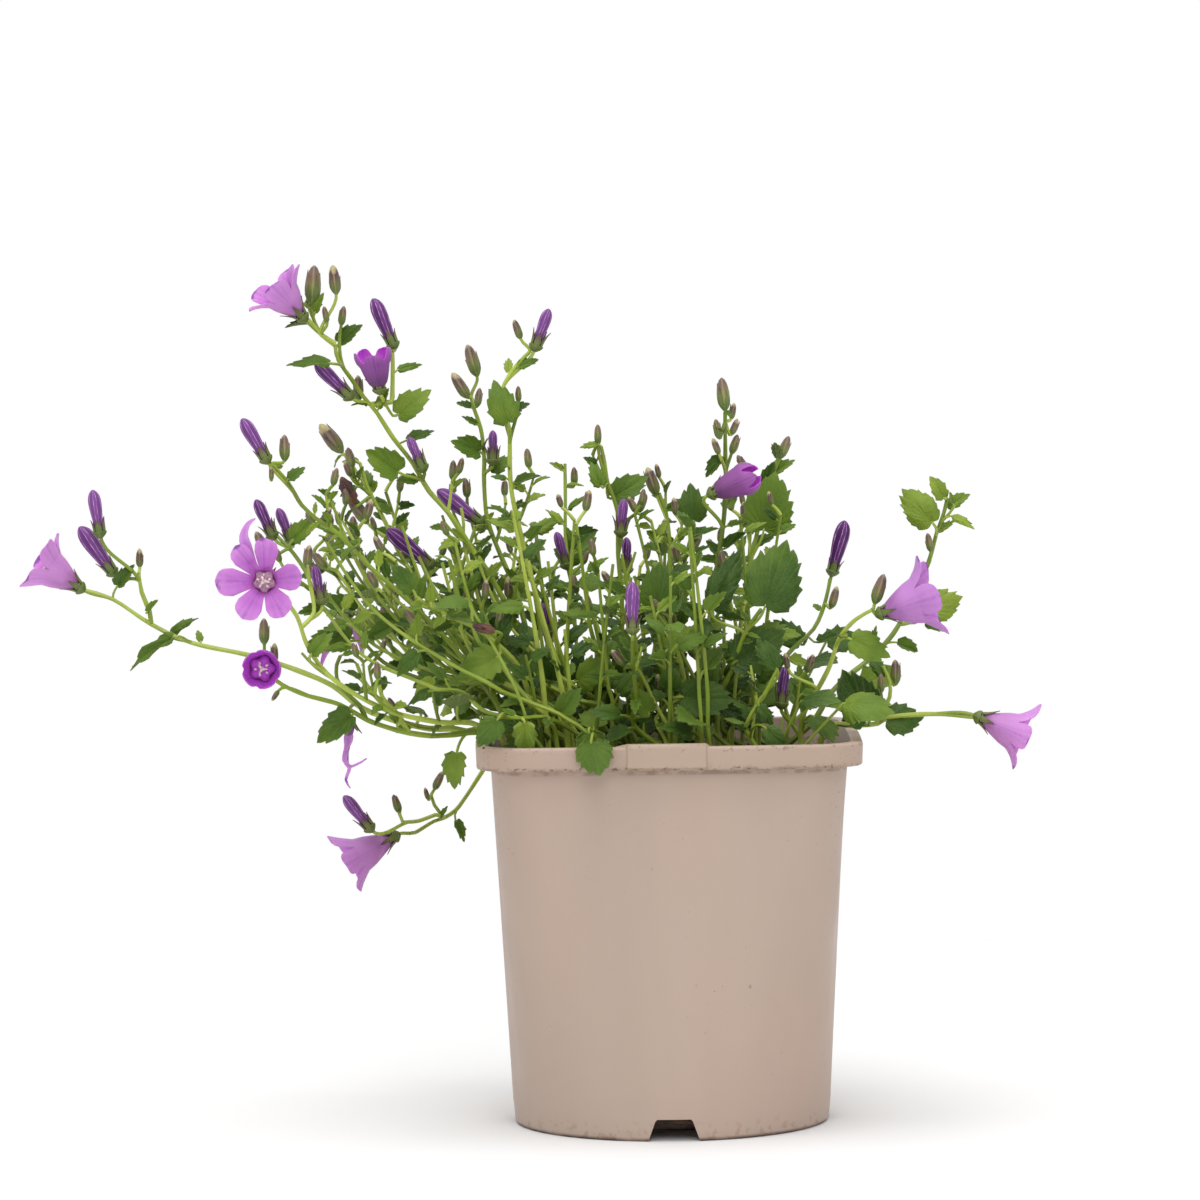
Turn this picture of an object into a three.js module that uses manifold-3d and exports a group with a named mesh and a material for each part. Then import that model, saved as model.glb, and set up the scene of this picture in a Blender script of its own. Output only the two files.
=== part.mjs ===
// A dalmatian bellflower in its nursery pot: a square-mouthed plastic pot on a round foot, filled with
// soil, and a loose bush of thin leafy stems with toothed round leaves, striped buds and violet bells.
// Millimetres, +Z up, the front towards -Y, the pot's axis on Z and its foot at Z = 0.
import * as THREE from "three";
import Module from "manifold-3d";

const wasm = await Module();
wasm.setup();

// The pot: rim and body are rounded squares at the top, and the foot is a circle.
const POT_HEIGHT = 124.5;
const RIM_HALF = 60.2;
const RIM_BAND = 7;
const RIM_LIP = 4.2;
const CORNER_RADIUS = 14;
const SIDE_BOW = 0.7;
const FOOT_RADIUS = 50.6;
const FOOT_BEVEL = 1.2;
const WALL = 1.4;
const FLOOR_TOP = 5.1;
const PAD_RADIUS = 27;
const FOOT_RING = 5.6;
const NOTCH = { bottom: 17, top: 10.6, height: 7, reach: 16 };
const TAB = { left: -13.3, right: 11.4, proud: 0.5, rise: 0.9 };

// The soil, with a lumpy top well under the rim, and the holes that the stems stand in.
const SOIL_TOP = 110;
const SOIL_LUMP = 1.6;
const HOLE_DEPTH = 12;
const HOLE_SLACK = 0.35;
const SEAT = 0.3;

// The plant. BEND_STEP is the spacing of the points along a stem, every STEM_SKIP-th of which gets a
// ring, and CLEAR is the least gap between two sprays.
const BEND_STEP = 4;
const STEM_SKIP = 4;
const CLEAR = 0.7;
const GOLDEN = 2.39996;
const PETIOLE_RADIUS = 0.55;
const PEDICEL_RADIUS = 0.6;
// A stalk's first ring is this share of its radius, so that it starts inside its stem.
const ROOT_SHARE = 0.3;
const BLADE = 0.7;
// The widest ring of the green cup under a flower, below the place where its sepals part.
const CUP = { radius: 2.3, depth: 1.1 };
const TOOTH_VALLEY = 0.78;
const PETAL = 0.7;
const SEED = 4021;

// Each spray is one leafy stem: its root in the soil (X, Y), its stem from the rim up, the side shoots
// that spring from it, and what it carries: [kind, where it starts, where it ends, and for a leaf how
// far its blade is turned away from the front, in degrees]. "leaves" counts those that the rule adds.
const SPRAYS = [
  { name: "far_left", root: [-37, -7], radius: 1.2, leaves: 1,
    stem: [[-64, -7, 126], [-76, -6, 127], [-88, -5, 130], [-98, -3, 134], [-107, -2, 141],
      [-121, -1, 147], [-134, 0, 151], [-152, 2, 155], [-165, 4, 161], [-177, 5, 169], [-186, 6, 172]],
    shoots: [[[-168, 4, 164], [-168, 6, 171], [-169, 8, 177]]],
    organs: [["bloom", [-188, 6, 173], [-200, 6, 181]],
      ["violet_bud", [-178, 11, 178], [-188, 11, 192]], ["violet_bud", [-181, 4, 191], [-183, 4, 204]],
      ["bud", [-169, 12, 179], [-169, 12, 185]], ["leaf", [-176, 7, 173], [-171, 7, 180], 35],
      ["leaf", [-166, 1, 165], [-163, 1, 169], 50], ["leaf", [-159, 6, 158], [-152, 6, 164], 50],
      ["leaf", [-157, 0, 157], [-172, 0, 149], 55]] },
  { name: "cup_flower", root: [-41, -18], radius: 1.1, leaves: 1,
    stem: [[-63, -18, 125], [-75, -23, 126], [-85, -26, 128], [-95, -31, 132], [-103, -34, 137],
      [-115, -39, 141], [-122, -42, 145], [-125, -44, 148]],
    shoots: [[[-89, -28, 133], [-94, -26, 141], [-98, -24, 149]],
      [[-85, -27, 131], [-90, -29, 139], [-91, -31, 149]],
      [[-103, -34, 138], [-104, -32, 145], [-103, -30, 152]]],
    organs: [["cup_bloom", [-126, -45, 150], [-126, -58, 150]],
      ["bud", [-126, -42, 157], [-126, -42, 165]], ["bud", [-123, -39, 151], [-123, -39, 157]],
      ["bud", [-122, -39, 142], [-124, -41, 139]], ["leaf", [-99, -34, 134], [-110, -36, 126], 25],
      ["leaf", [-97, -23, 141], [-102, -23, 143], 40], ["cup_bloom", [-101, -23, 131], [-100, -21, 115]]] },
  { name: "low_left", root: [-26, 26], radius: 1.0, leaves: 0,
    stem: [[-44, 47, 128], [-49, 62, 127], [-54, 70, 117], [-60, 70, 108], [-70, 67, 94],
      [-77, 62, 91], [-83, 55, 88], [-85, 52, 88]],
    shoots: [[[-75, 63, 92], [-77, 66, 96], [-78, 67, 99]],
      [[-85, 52, 88], [-87, 50, 92], [-88, 48, 95]]],
    organs: [["bloom", [-90, 52, 87], [-105, 52, 79]], ["violet_bud", [-98, 46, 91], [-106, 46, 101]],
      ["bud", [-88, 51, 95], [-90, 51, 101]], ["bud", [-77, 69, 101], [-74, 69, 107]],
      ["bud", [-79, 65, 98], [-80, 65, 102]], ["leaf", [-70, 65, 91], [-67, 65, 84], 60],
      ["leaf", [-75, 62, 92], [-73, 62, 96], 60]] },
  { name: "tall_left", root: [-21, -2], radius: 1.25, leaves: 1,
    stem: [[-36, -2, 128], [-41, -3, 142], [-48, -4, 160], [-55, -6, 174], [-62, -6, 185],
      [-69, -7, 196], [-75, -8, 203], [-80, -9, 212], [-86, -10, 220], [-91, -10, 228],
      [-95, -11, 233], [-99, -11, 239], [-103, -12, 245], [-104, -12, 250]],
    shoots: [[[-90, -10, 226], [-87, -9, 231], [-86, -7, 240], [-86, -6, 247]],
      [[-104, -12, 248], [-108, -14, 253], [-112, -16, 258]]],
    organs: [["bloom", [-114, -16, 259], [-122, -18, 268]],
      ["bud", [-111, -12, 263], [-110, -12, 275]], ["bud", [-103, -17, 266], [-104, -17, 275]],
      ["bud", [-102, -9, 256], [-101, -9, 262]], ["bud", [-106, -17, 257], [-107, -17, 262]],
      ["leaf", [-103, -10, 250], [-96, -10, 256], 35],
      ["leaf", [-105, -14, 244], [-118, -14, 246], 60],
      ["violet_bud", [-100, -14, 234], [-110, -14, 244]], ["bud", [-97, -7, 232], [-97, -7, 240]],
      ["violet_bud", [-86, -3, 250], [-92, -3, 264]], ["cup_bloom", [-90, -12, 236], [-92, -14, 248]],
      ["leaf", [-85, -6, 227], [-75, -8, 235], 20], ["leaf", [-82, -5, 219], [-74, -5, 223], 45],
      ["leaf", [-84, -13, 209], [-94, -15, 216], 15], ["violet_bud", [-77, -12, 211], [-81, -12, 220]]] },
  { name: "inner_left", root: [-27, 6], radius: 1.0, leaves: 1,
    stem: [[-42, 6, 124], [-50, 8, 135], [-63, 12, 152], [-76, 15, 168], [-85, 18, 181],
      [-90, 20, 192], [-96, 22, 204], [-98, 23, 211], [-103, 24, 214]],
    shoots: [[[-71, 14, 163], [-66, 16, 175], [-63, 17, 184], [-61, 18, 190]]],
    organs: [["bud", [-104, 24, 215], [-111, 24, 224]], ["bud", [-101, 21, 207], [-103, 21, 212]],
      ["bud", [-100, 18, 198], [-104, 18, 207]], ["bud", [-96, 22, 192], [-102, 22, 201]],
      ["violet_bud", [-76, 12, 179], [-89, 10, 190]], ["violet_bud", [-60, 23, 192], [-73, 23, 202]]] },
  { name: "bud_left", root: [-33, -22], radius: 1.0, leaves: 1,
    stem: [[-48, -22, 126], [-56, -24, 139], [-68, -27, 155], [-81, -29, 169], [-93, -32, 180],
      [-102, -34, 190], [-110, -35, 196], [-114, -36, 200], [-118, -37, 207], [-123, -38, 213]],
    shoots: [],
    organs: [["violet_bud", [-125, -38, 215], [-132, -38, 227]],
      ["bud", [-119, -36, 214], [-119, -36, 222]], ["bud", [-123, -41, 208], [-123, -41, 212]],
      ["leaf", [-118, -39, 208], [-113, -39, 212], 30], ["bud", [-108, -32, 194], [-105, -32, 199]]] },
  { name: "mid_left", root: [-42, 10], radius: 1.0, leaves: 1,
    stem: [[-55, 10, 124], [-63, 15, 138], [-73, 19, 149], [-83, 23, 155], [-92, 25, 156],
      [-104, 29, 160], [-112, 32, 165], [-117, 35, 176], [-122, 38, 183], [-127, 40, 188]],
    shoots: [],
    organs: [["violet_bud", [-128, 40, 188], [-133, 40, 199]],
      ["violet_bud", [-122, 43, 186], [-126, 43, 196]], ["leaf", [-121, 35, 186], [-114, 33, 193], 25],
      ["bud", [-129, 36, 181], [-133, 36, 189]], ["bud", [-125, 34, 179], [-127, 34, 184]]] },
  { name: "front_flower", root: [-46, -27], radius: 1.0, leaves: 1,
    stem: [[-59, -27, 129], [-72, -32, 131], [-87, -38, 135], [-101, -44, 143], [-109, -48, 151],
      [-113, -51, 159], [-115, -54, 166], [-121, -58, 175]],
    shoots: [[[-112, -51, 159], [-110, -49, 167], [-111, -48, 175], [-112, -47, 180]]],
    organs: [["open_bloom", [-124, -59, 177], [-124, -72, 178]],
      ["violet_bud", [-108, -46, 171], [-110, -46, 181]], ["bud", [-112, -49, 181], [-111, -49, 188]],
      ["leaf", [-111, -53, 154], [-105, -53, 161], 30]] },
  { name: "low_leafy", root: [-34, 22], radius: 1.0, leaves: 2,
    stem: [[-54, 22, 127], [-67, 27, 132], [-80, 34, 143], [-92, 40, 153], [-100, 45, 164],
      [-105, 49, 172], [-110, 51, 176], [-115, 54, 181]],
    shoots: [],
    organs: [["leaf", [-101, 41, 162], [-111, 39, 167], 20], ["bud", [-92, 34, 161], [-101, 34, 162]],
      ["bud", [-102, 54, 185], [-102, 54, 193]], ["bud", [-110, 51, 188], [-109, 51, 194]],
      ["leaf", [-102, 35, 153], [-116, 33, 153], 25]] },
  { name: "thick_left", root: [-17, -22], radius: 1.3, leaves: 1,
    stem: [[-40, -22, 130], [-44, -27, 140], [-47, -30, 148], [-53, -34, 155], [-62, -38, 162],
      [-71, -42, 166], [-78, -46, 171]],
    shoots: [[[-62, -38, 162], [-66, -36, 173], [-68, -34, 182]]],
    organs: [["leaf", [-69, -47, 165], [-60, -47, 163], 60],
      ["leaf", [-53, -39, 152], [-65, -41, 146], 5], ["leaf", [-79, -46, 173], [-85, -48, 181], 20]] },
  { name: "upper_a", root: [-13, 10], radius: 1.1, leaves: 2,
    stem: [[-34, 10, 126], [-38, 12, 138], [-44, 15, 154], [-48, 18, 169], [-53, 21, 181],
      [-57, 23, 192], [-58, 25, 203], [-58, 27, 214], [-59, 28, 222], [-61, 29, 228], [-62, 30, 232]],
    shoots: [],
    organs: [["bud", [-60, 32, 239], [-63, 32, 249]], ["bud", [-63, 28, 232], [-68, 28, 240]],
      ["bud", [-60, 26, 229], [-59, 26, 235]], ["leaf", [-59, 29, 214], [-68, 27, 218], 20],
      ["violet_bud", [-55, 22, 212], [-55, 22, 221]]] },
  { name: "upper_b", root: [-6, -6], radius: 1.1, leaves: 1,
    stem: [[-30, -6, 127], [-33, -8, 142], [-39, -10, 160], [-44, -12, 181], [-48, -14, 199],
      [-49, -15, 209], [-49, -17, 222], [-51, -18, 230], [-51, -18, 235], [-49, -19, 239],
      [-46, -19, 243], [-42, -20, 247]],
    shoots: [],
    organs: [["violet_bud", [-40, -20, 249], [-36, -20, 260]],
      ["bud", [-45, -18, 251], [-47, -18, 257]], ["leaf", [-46, -21, 242], [-40, -21, 245], 35],
      ["leaf", [-49, -20, 224], [-53, -22, 237], 15], ["bud", [-46, -15, 231], [-46, -15, 236]],
      ["leaf", [-49, -15, 228], [-43, -15, 231], 30]] },
  { name: "thin_centre", root: [1, 26], radius: 0.8, leaves: 1,
    stem: [[-25, 26, 123], [-27, 31, 136], [-29, 38, 152], [-30, 44, 168], [-32, 50, 184],
      [-32, 55, 197], [-32, 60, 209]],
    shoots: [],
    organs: [["bud", [-29, 60, 202], [-29, 60, 208]], ["violet_bud", [-32, 43, 177], [-35, 43, 187]]] },
  { name: "centre_bud", root: [12, 4], radius: 1.0, leaves: 1,
    stem: [[-10, 4, 125], [-12, 5, 135], [-14, 5, 147], [-14, 7, 167], [-15, 8, 181], [-15, 9, 195],
      [-18, 9, 204], [-19, 10, 211], [-20, 10, 216]],
    shoots: [],
    organs: [["bud", [-21, 10, 217], [-21, 10, 223]], ["leaf", [-20, 6, 203], [-23, 6, 211], 30],
      ["leaf", [-17, 12, 199], [-6, 10, 206], 20], ["violet_bud", [-14, 3, 189], [-13, 3, 199]]] },
  { name: "centre_right_bud", root: [22, 18], radius: 1.0, leaves: 1,
    stem: [[0, 18, 124], [2, 24, 139], [3, 31, 159], [2, 37, 176], [2, 41, 185], [1, 44, 193],
      [-1, 46, 199]],
    shoots: [[[3, 33, 165], [7, 36, 178], [10, 37, 189]]],
    organs: [["bud", [-2, 46, 199], [-5, 46, 208]], ["leaf", [10, 34, 190], [9, 32, 202], 5],
      ["leaf", [2, 45, 181], [-5, 43, 187], 25]] },
  { name: "spike", root: [28, -4], radius: 1.15, leaves: 2,
    stem: [[7, -4, 124], [10, -8, 138], [13, -12, 155], [15, -16, 171], [18, -21, 190], [19, -24, 203],
      [19, -26, 212], [19, -28, 220], [19, -30, 227]],
    shoots: [],
    organs: [["bud", [19, -30, 228], [18, -30, 238]], ["bud", [21, -28, 225], [22, -28, 230]],
      ["bud", [17, -30, 219], [16, -30, 225]], ["bud", [21, -26, 220], [23, -26, 225]],
      ["bud", [17, -29, 214], [15, -29, 219]], ["bud", [21, -25, 214], [23, -25, 220]],
      ["leaf", [18, -29, 213], [13, -29, 207], 40], ["cup_bloom", [15, -33, 202], [29, -35, 208]]] },
  { name: "right_bud", root: [36, 10], radius: 1.05, leaves: 1,
    stem: [[18, 10, 124], [22, 14, 142], [25, 18, 161], [28, 21, 178], [32, 25, 194], [34, 27, 205],
      [37, 28, 210]],
    shoots: [],
    organs: [["bud", [38, 28, 211], [41, 28, 218]], ["leaf", [35, 29, 206], [42, 29, 211], 40],
      ["leaf", [32, 19, 187], [36, 17, 206], 5], ["bud", [27, 27, 189], [26, 27, 197]]] },
  { name: "round_leaves", root: [28, -18], radius: 1.0, leaves: 1,
    stem: [[12, -18, 128], [15, -24, 136], [20, -32, 146], [24, -41, 158], [29, -48, 166]],
    shoots: [[[14, -21, 131], [7, -19, 146], [1, -18, 158], [-3, -17, 165]]],
    organs: [["leaf", [30, -48, 166], [37, -50, 186], 0], ["leaf", [21, -39, 149], [36, -41, 158], 0],
      ["leaf", [-3, -19, 165], [-2, -21, 179], 0], ["leaf", [14, -37, 165], [21, -37, 185], 55],
      ["leaf", [12, -26, 135], [15, -28, 140], 15]] },
  { name: "right_violet", root: [43, 26], radius: 1.0, leaves: 1,
    stem: [[25, 26, 123], [32, 34, 135], [41, 41, 147], [49, 47, 154], [53, 52, 162], [55, 56, 170]],
    shoots: [],
    organs: [["violet_bud", [56, 57, 173], [60, 55, 189]], ["bud", [55, 49, 161], [57, 49, 168]],
      ["leaf", [50, 43, 150], [57, 43, 153], 45], ["leaf", [45, 47, 149], [37, 45, 157], 15]] },
  { name: "right_flower", root: [42, -20], radius: 1.05, leaves: 1,
    stem: [[42, -20, 124], [43, -23, 132], [47, -26, 139], [51, -30, 147], [54, -34, 156],
      [59, -38, 162], [64, -40, 165]],
    shoots: [[[42, -21, 128], [38, -19, 131], [37, -17, 134]]],
    organs: [["bloom", [67, -40, 164], [79, -40, 168]], ["bud", [65, -37, 167], [68, -37, 176]],
      ["violet_bud", [36, -21, 135], [37, -21, 146]], ["bud", [38, -24, 146], [37, -24, 151]],
      ["leaf", [57, -39, 156], [69, -41, 151], 15], ["leaf", [44, -20, 134], [42, -20, 146], 35]] },
  { name: "upright_shoot", root: [36, 38], radius: 1.05, leaves: 1,
    stem: [[48, 38, 124], [53, 40, 132], [59, 42, 138], [67, 45, 144], [75, 47, 152], [81, 50, 162],
      [85, 52, 170], [88, 54, 177], [90, 55, 184], [93, 57, 192], [94, 58, 196]],
    shoots: [[[75, 47, 152], [80, 49, 156], [84, 51, 159]]],
    organs: [["leaf", [93, 56, 196], [89, 54, 203], 20], ["leaf", [94, 60, 193], [101, 60, 198], 35],
      ["leaf", [89, 53, 188], [80, 51, 199], 10], ["leaf", [91, 59, 185], [96, 59, 189], 45],
      ["bud", [88, 51, 179], [87, 51, 185]], ["leaf", [84, 46, 159], [97, 44, 164], 5]] },
  { name: "far_right", root: [51, -5], radius: 1.1, leaves: 0,
    stem: [[49, -5, 122], [57, -7, 123], [62, -8, 125], [67, -9, 127], [70, -10, 129], [80, -12, 130],
      [88, -14, 130], [98, -16, 129]],
    shoots: [[[70, -10, 129], [71, -8, 135], [71, -7, 140], [69, -6, 145]]],
    organs: [["bloom", [99, -16, 129], [113, -16, 123]], ["leaf", [64, -14, 128], [56, -16, 144], 10],
      ["leaf", [69, -13, 128], [81, -13, 130], 30], ["bud", [68, -11, 137], [68, -11, 143]],
      ["bud", [73, -4, 139], [73, -4, 147]], ["leaf", [70, -6, 142], [65, -6, 148], 30]] },
  { name: "front_rim", root: [-8, -34], radius: 0.95, leaves: 1,
    stem: [[-32, -34, 129], [-35, -37, 131], [-40, -42, 133], [-46, -47, 133], [-53, -52, 134]],
    shoots: [[[-32, -34, 129], [-28, -32, 128], [-24, -30, 127]]],
    organs: [["leaf", [-53, -52, 134], [-59, -54, 126], 5],
      ["leaf", [-45, -51, 132], [-45, -53, 121], 25], ["leaf", [-25, -40, 128], [-23, -42, 116], 5],
      ["leaf", [-34, -34, 133], [-28, -36, 141], 20]] },
  { name: "front_mid", root: [10, -30], radius: 0.95, leaves: 1,
    stem: [[-10, -30, 128], [-10, -36, 137], [-11, -44, 149], [-11, -52, 160]],
    shoots: [[[-9, -30, 126], [-4, -28, 131], [4, -26, 137]]],
    organs: [["violet_bud", [-11, -52, 161], [-11, -52, 175]],
      ["leaf", [4, -30, 138], [20, -32, 137], 10], ["leaf", [-6, -34, 133], [-11, -36, 141], 20]] },
  { name: "back_violet", root: [14, 38], radius: 0.9, leaves: 1,
    stem: [[-5, 38, 124], [-6, 46, 138], [-7, 55, 154], [-10, 62, 167], [-12, 66, 173]],
    shoots: [[[-6, 50, 144], [-1, 51, 161], [2, 53, 177], [8, 54, 187]]],
    organs: [["violet_bud", [-12, 66, 174], [-12, 66, 184]], ["leaf", [-3, 55, 161], [8, 53, 167], 15]] },
  { name: "front_right", root: [33, -38], radius: 0.95, leaves: 1,
    stem: [[24, -38, 128], [26, -40, 133], [30, -41, 139], [34, -44, 147]],
    shoots: [[[24, -38, 128], [27, -36, 129], [31, -34, 128]]],
    organs: [["leaf", [28, -44, 136], [33, -44, 130], 30],
      ["leaf", [30, -48, 129], [36, -50, 123], 15], ["leaf", [34, -44, 147], [29, -46, 156], 20]] },
  { name: "leafy_centre", root: [-20, 34], radius: 1.0, leaves: 1,
    stem: [[-35, 34, 126], [-37, 38, 136], [-38, 43, 149], [-39, 48, 161], [-41, 54, 178],
      [-42, 58, 188]],
    shoots: [[[-39, 49, 165], [-37, 51, 171], [-34, 53, 178]]],
    organs: [["leaf", [-42, 55, 187], [-35, 55, 192], 30],
      ["leaf", [-44, 46, 173], [-45, 44, 183], 15], ["violet_bud", [-38, 37, 155], [-40, 37, 164]],
      ["leaf", [-34, 56, 177], [-23, 54, 187], 20]] },
];

const UP = new THREE.Vector3(0, 0, 1);
const FRONT = new THREE.Vector3(0, -1, 0);

const vec = (x, y, z) => new THREE.Vector3(x, y, z);
const mix = (a, b, t) => a + (b - a) * t;
const blend = (...parts) => {
  const sum = vec(0, 0, 0);
  for (const [v, weight] of parts) sum.addScaledVector(v, weight);
  return sum;
};

// A repeatable draw between 0 and 1.
function drawer(seed) {
  let state = seed;
  return () => {
    state = (state * 48271) % 2147483647;
    return state / 2147483647;
  };
}

// A closed solid from points and the triangles between them.
function solid(points, faces) {
  const vertProperties = new Float32Array(points.flatMap((p) => [p.x, p.y, p.z]));
  const triVerts = new Uint32Array(faces.flat());
  return new wasm.Manifold(new wasm.Mesh({ numProp: 3, vertProperties, triVerts }));
}

// A closed solid through a row of rings that run anticlockwise seen from its far end.
// The first or last ring may be a single point.
function loft(rings) {
  const points = rings.flat();
  const faces = [];
  let start = 0;
  rings.slice(0, -1).forEach((ring, k) => {
    const next = start + ring.length;
    const n = Math.max(ring.length, rings[k + 1].length);
    for (let i = 0; i < n; i++) {
      const j = (i + 1) % n;
      if (ring.length === 1) faces.push([start, next + j, next + i]);
      else if (rings[k + 1].length === 1) faces.push([start + i, start + j, next]);
      else faces.push([start + i, start + j, next + j], [start + i, next + j, next + i]);
    }
    start = next;
  });
  for (let i = 1; i + 1 < rings[0].length; i++) faces.push([0, i + 1, i]);
  for (let i = 1; i + 1 < rings.at(-1).length; i++) faces.push([start, start + i, start + i + 1]);
  return solid(points, faces);
}

// Two directions square to an axis, so that side, across and axis are right-handed.
function squareTo(axis, hint = FRONT) {
  const side = blend([hint, 1], [axis, -hint.dot(axis)]);
  if (side.lengthSq() < 1e-4) side.set(1, 0, 0).addScaledVector(axis, -axis.x);
  side.normalize();
  return [side, axis.clone().cross(side)];
}

function ringAt(centre, side, across, radii) {
  return radii.map((r, i) => {
    const a = (2 * Math.PI * i) / radii.length;
    return blend([centre, 1], [side, r * Math.cos(a)], [across, r * Math.sin(a)]);
  });
}

// A round rod along a route, thinning from one radius to the other.
function rod(route, first, last, sides) {
  const rings = [];
  let side = null;
  route.forEach((p, i) => {
    const before = route[Math.max(i - 1, 0)];
    const after = route[Math.min(i + 1, route.length - 1)];
    const axis = after.clone().sub(before).normalize();
    const [s, across] = squareTo(axis, side ?? FRONT);
    side = s;
    const r = mix(first, last, i / (route.length - 1));
    rings.push(ringAt(p, s, across, Array(sides).fill(r)));
  });
  return loft(rings);
}

// A closed prism from an outline in X and Z, between two depths.
function prismAlongY(outline, near, far) {
  const at = (y) => outline.map(([x, z]) => vec(x, y, z));
  return loft([at(far), at(near)]);
}

// The pot's ring at a height: the same 32 points go round a circle and round a rounded square,
// five on each corner and three on each side. square is 0 for the circle and 1 for the square.
const CORNER_POINTS = 5;
const SIDE_POINTS = 3;
const RING_POINTS = 4 * (CORNER_POINTS + SIDE_POINTS);
function potRing(z, square, half, round) {
  const ring = [];
  const flat = half - CORNER_RADIUS;
  for (let q = 0; q < 4; q++) {
    const turn = (q * Math.PI) / 2;
    for (let k = 0; k < CORNER_POINTS + SIDE_POINTS; k++) {
      const spread = k - (CORNER_POINTS - 1) / 2;
      const a = Math.PI / 4 + (2 * Math.PI * spread) / RING_POINTS;
      let x = flat + CORNER_RADIUS * Math.cos((k * Math.PI) / 2 / (CORNER_POINTS - 1));
      let y = flat + CORNER_RADIUS * Math.sin((k * Math.PI) / 2 / (CORNER_POINTS - 1));
      if (k >= CORNER_POINTS) {
        const along = (k - CORNER_POINTS + 1) / (SIDE_POINTS + 1);
        x = flat * (1 - 2 * along);
        y = half + SIDE_BOW * Math.sin(Math.PI * along);
      }
      x = mix(round * Math.cos(a), x, square);
      y = mix(round * Math.sin(a), y, square);
      ring.push(vec(x * Math.cos(turn) - y * Math.sin(turn), x * Math.sin(turn) + y * Math.cos(turn), z));
    }
  }
  return ring;
}

// The wall's ring at a height, moved outwards by "out".
function wallRing(z, out) {
  const square = z / POT_HEIGHT;
  return potRing(z, square, RIM_HALF - RIM_LIP + 0.3 + out, FOOT_RADIUS + out);
}

function makePot() {
  const rimFoot = POT_HEIGHT - RIM_BAND;
  const outer = loft([
    wallRing(0, -FOOT_BEVEL * 0.6),
    wallRing(FOOT_BEVEL, 0),
    wallRing(rimFoot - 1, 0),
    potRing(rimFoot, 1, RIM_HALF, 0),
    potRing(POT_HEIGHT - 0.8, 1, RIM_HALF + 0.2, 0),
    potRing(POT_HEIGHT, 1, RIM_HALF - 0.6, 0),
  ]);
  const inner = loft([
    wallRing(FLOOR_TOP, -WALL),
    wallRing(rimFoot, -WALL),
    potRing(POT_HEIGHT + 1, 1, RIM_HALF - RIM_LIP + 0.4, 0),
  ]);
  const disc = (radius, from, to) =>
    loft([
      ringAt(vec(0, 0, from), vec(1, 0, 0), vec(0, 1, 0), Array(RING_POINTS).fill(radius)),
      ringAt(vec(0, 0, to), vec(1, 0, 0), vec(0, 1, 0), Array(RING_POINTS).fill(radius)),
    ]);
  // The floor is a flat pad in the middle and a raised ring round it, inside the foot.
  const well = disc(PAD_RADIUS - WALL, WALL, FLOOR_TOP + 1);
  const under = disc(FOOT_RADIUS - FOOT_RING, -1, FLOOR_TOP - WALL).subtract(disc(PAD_RADIUS, -2, FLOOR_TOP));
  let pot = outer.subtract(inner).subtract(well).subtract(under);
  // A drain notch in the middle of each side.
  const { bottom, top, height, reach } = NOTCH;
  const outline = [
    [-bottom / 2, -1],
    [bottom / 2, -1],
    [top / 2, height],
    [-top / 2, height],
  ];
  const notch = prismAlongY(outline, -FOOT_RADIUS - 2, -FOOT_RADIUS + reach);
  for (let q = 0; q < 4; q++) pot = pot.subtract(notch.rotate([0, 0, 90 * q]));
  // The label tab: a slightly proud and taller stretch of the front rim.
  const { left, right, proud, rise } = TAB;
  const tab = [
    [left, rimFoot + 0.5],
    [right, rimFoot + 0.5],
    [right, POT_HEIGHT + rise],
    [left, POT_HEIGHT + rise],
  ];
  const front = -RIM_HALF - SIDE_BOW;
  return pot.add(prismAlongY(tab, front - proud, front + RIM_LIP * 0.55));
}

function makeSoil(roots) {
  const draw = drawer(SEED);
  const wall = loft([
    wallRing(FLOOR_TOP + SEAT, -WALL - SEAT),
    wallRing(SOIL_TOP, -WALL - SEAT),
  ]);
  // The lumpy top: rings of points pushed up and down, closed over a flat underside.
  const rings = [1, 0.7, 0.4].map((share) =>
    wallRing(SOIL_TOP, -WALL - SEAT).map((p) =>
      vec(p.x * share, p.y * share, SOIL_TOP + (share === 1 ? 0 : SOIL_LUMP * draw())),
    ),
  );
  const lumps = loft([wallRing(SOIL_TOP - 2, -WALL - SEAT), ...rings, [vec(0, 0, SOIL_TOP + 1)]]);
  const plugRing = (z) => {
    const radii = Array(RING_POINTS).fill(PAD_RADIUS - WALL - SEAT);
    return ringAt(vec(0, 0, z), vec(1, 0, 0), vec(0, 1, 0), radii);
  };
  const plug = loft([plugRing(WALL + SEAT), plugRing(FLOOR_TOP + 2)]);
  let soil = wall.add(lumps).add(plug);
  for (const { x, y, radius } of roots) {
    const hole = [SOIL_TOP - HOLE_DEPTH, SOIL_TOP + 5].map((z) =>
      ringAt(vec(x, y, z), vec(1, 0, 0), vec(0, 1, 0), Array(4).fill((radius + HOLE_SLACK) * Math.SQRT2)),
    );
    soil = soil.subtract(loft(hole));
  }
  return soil;
}

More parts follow.
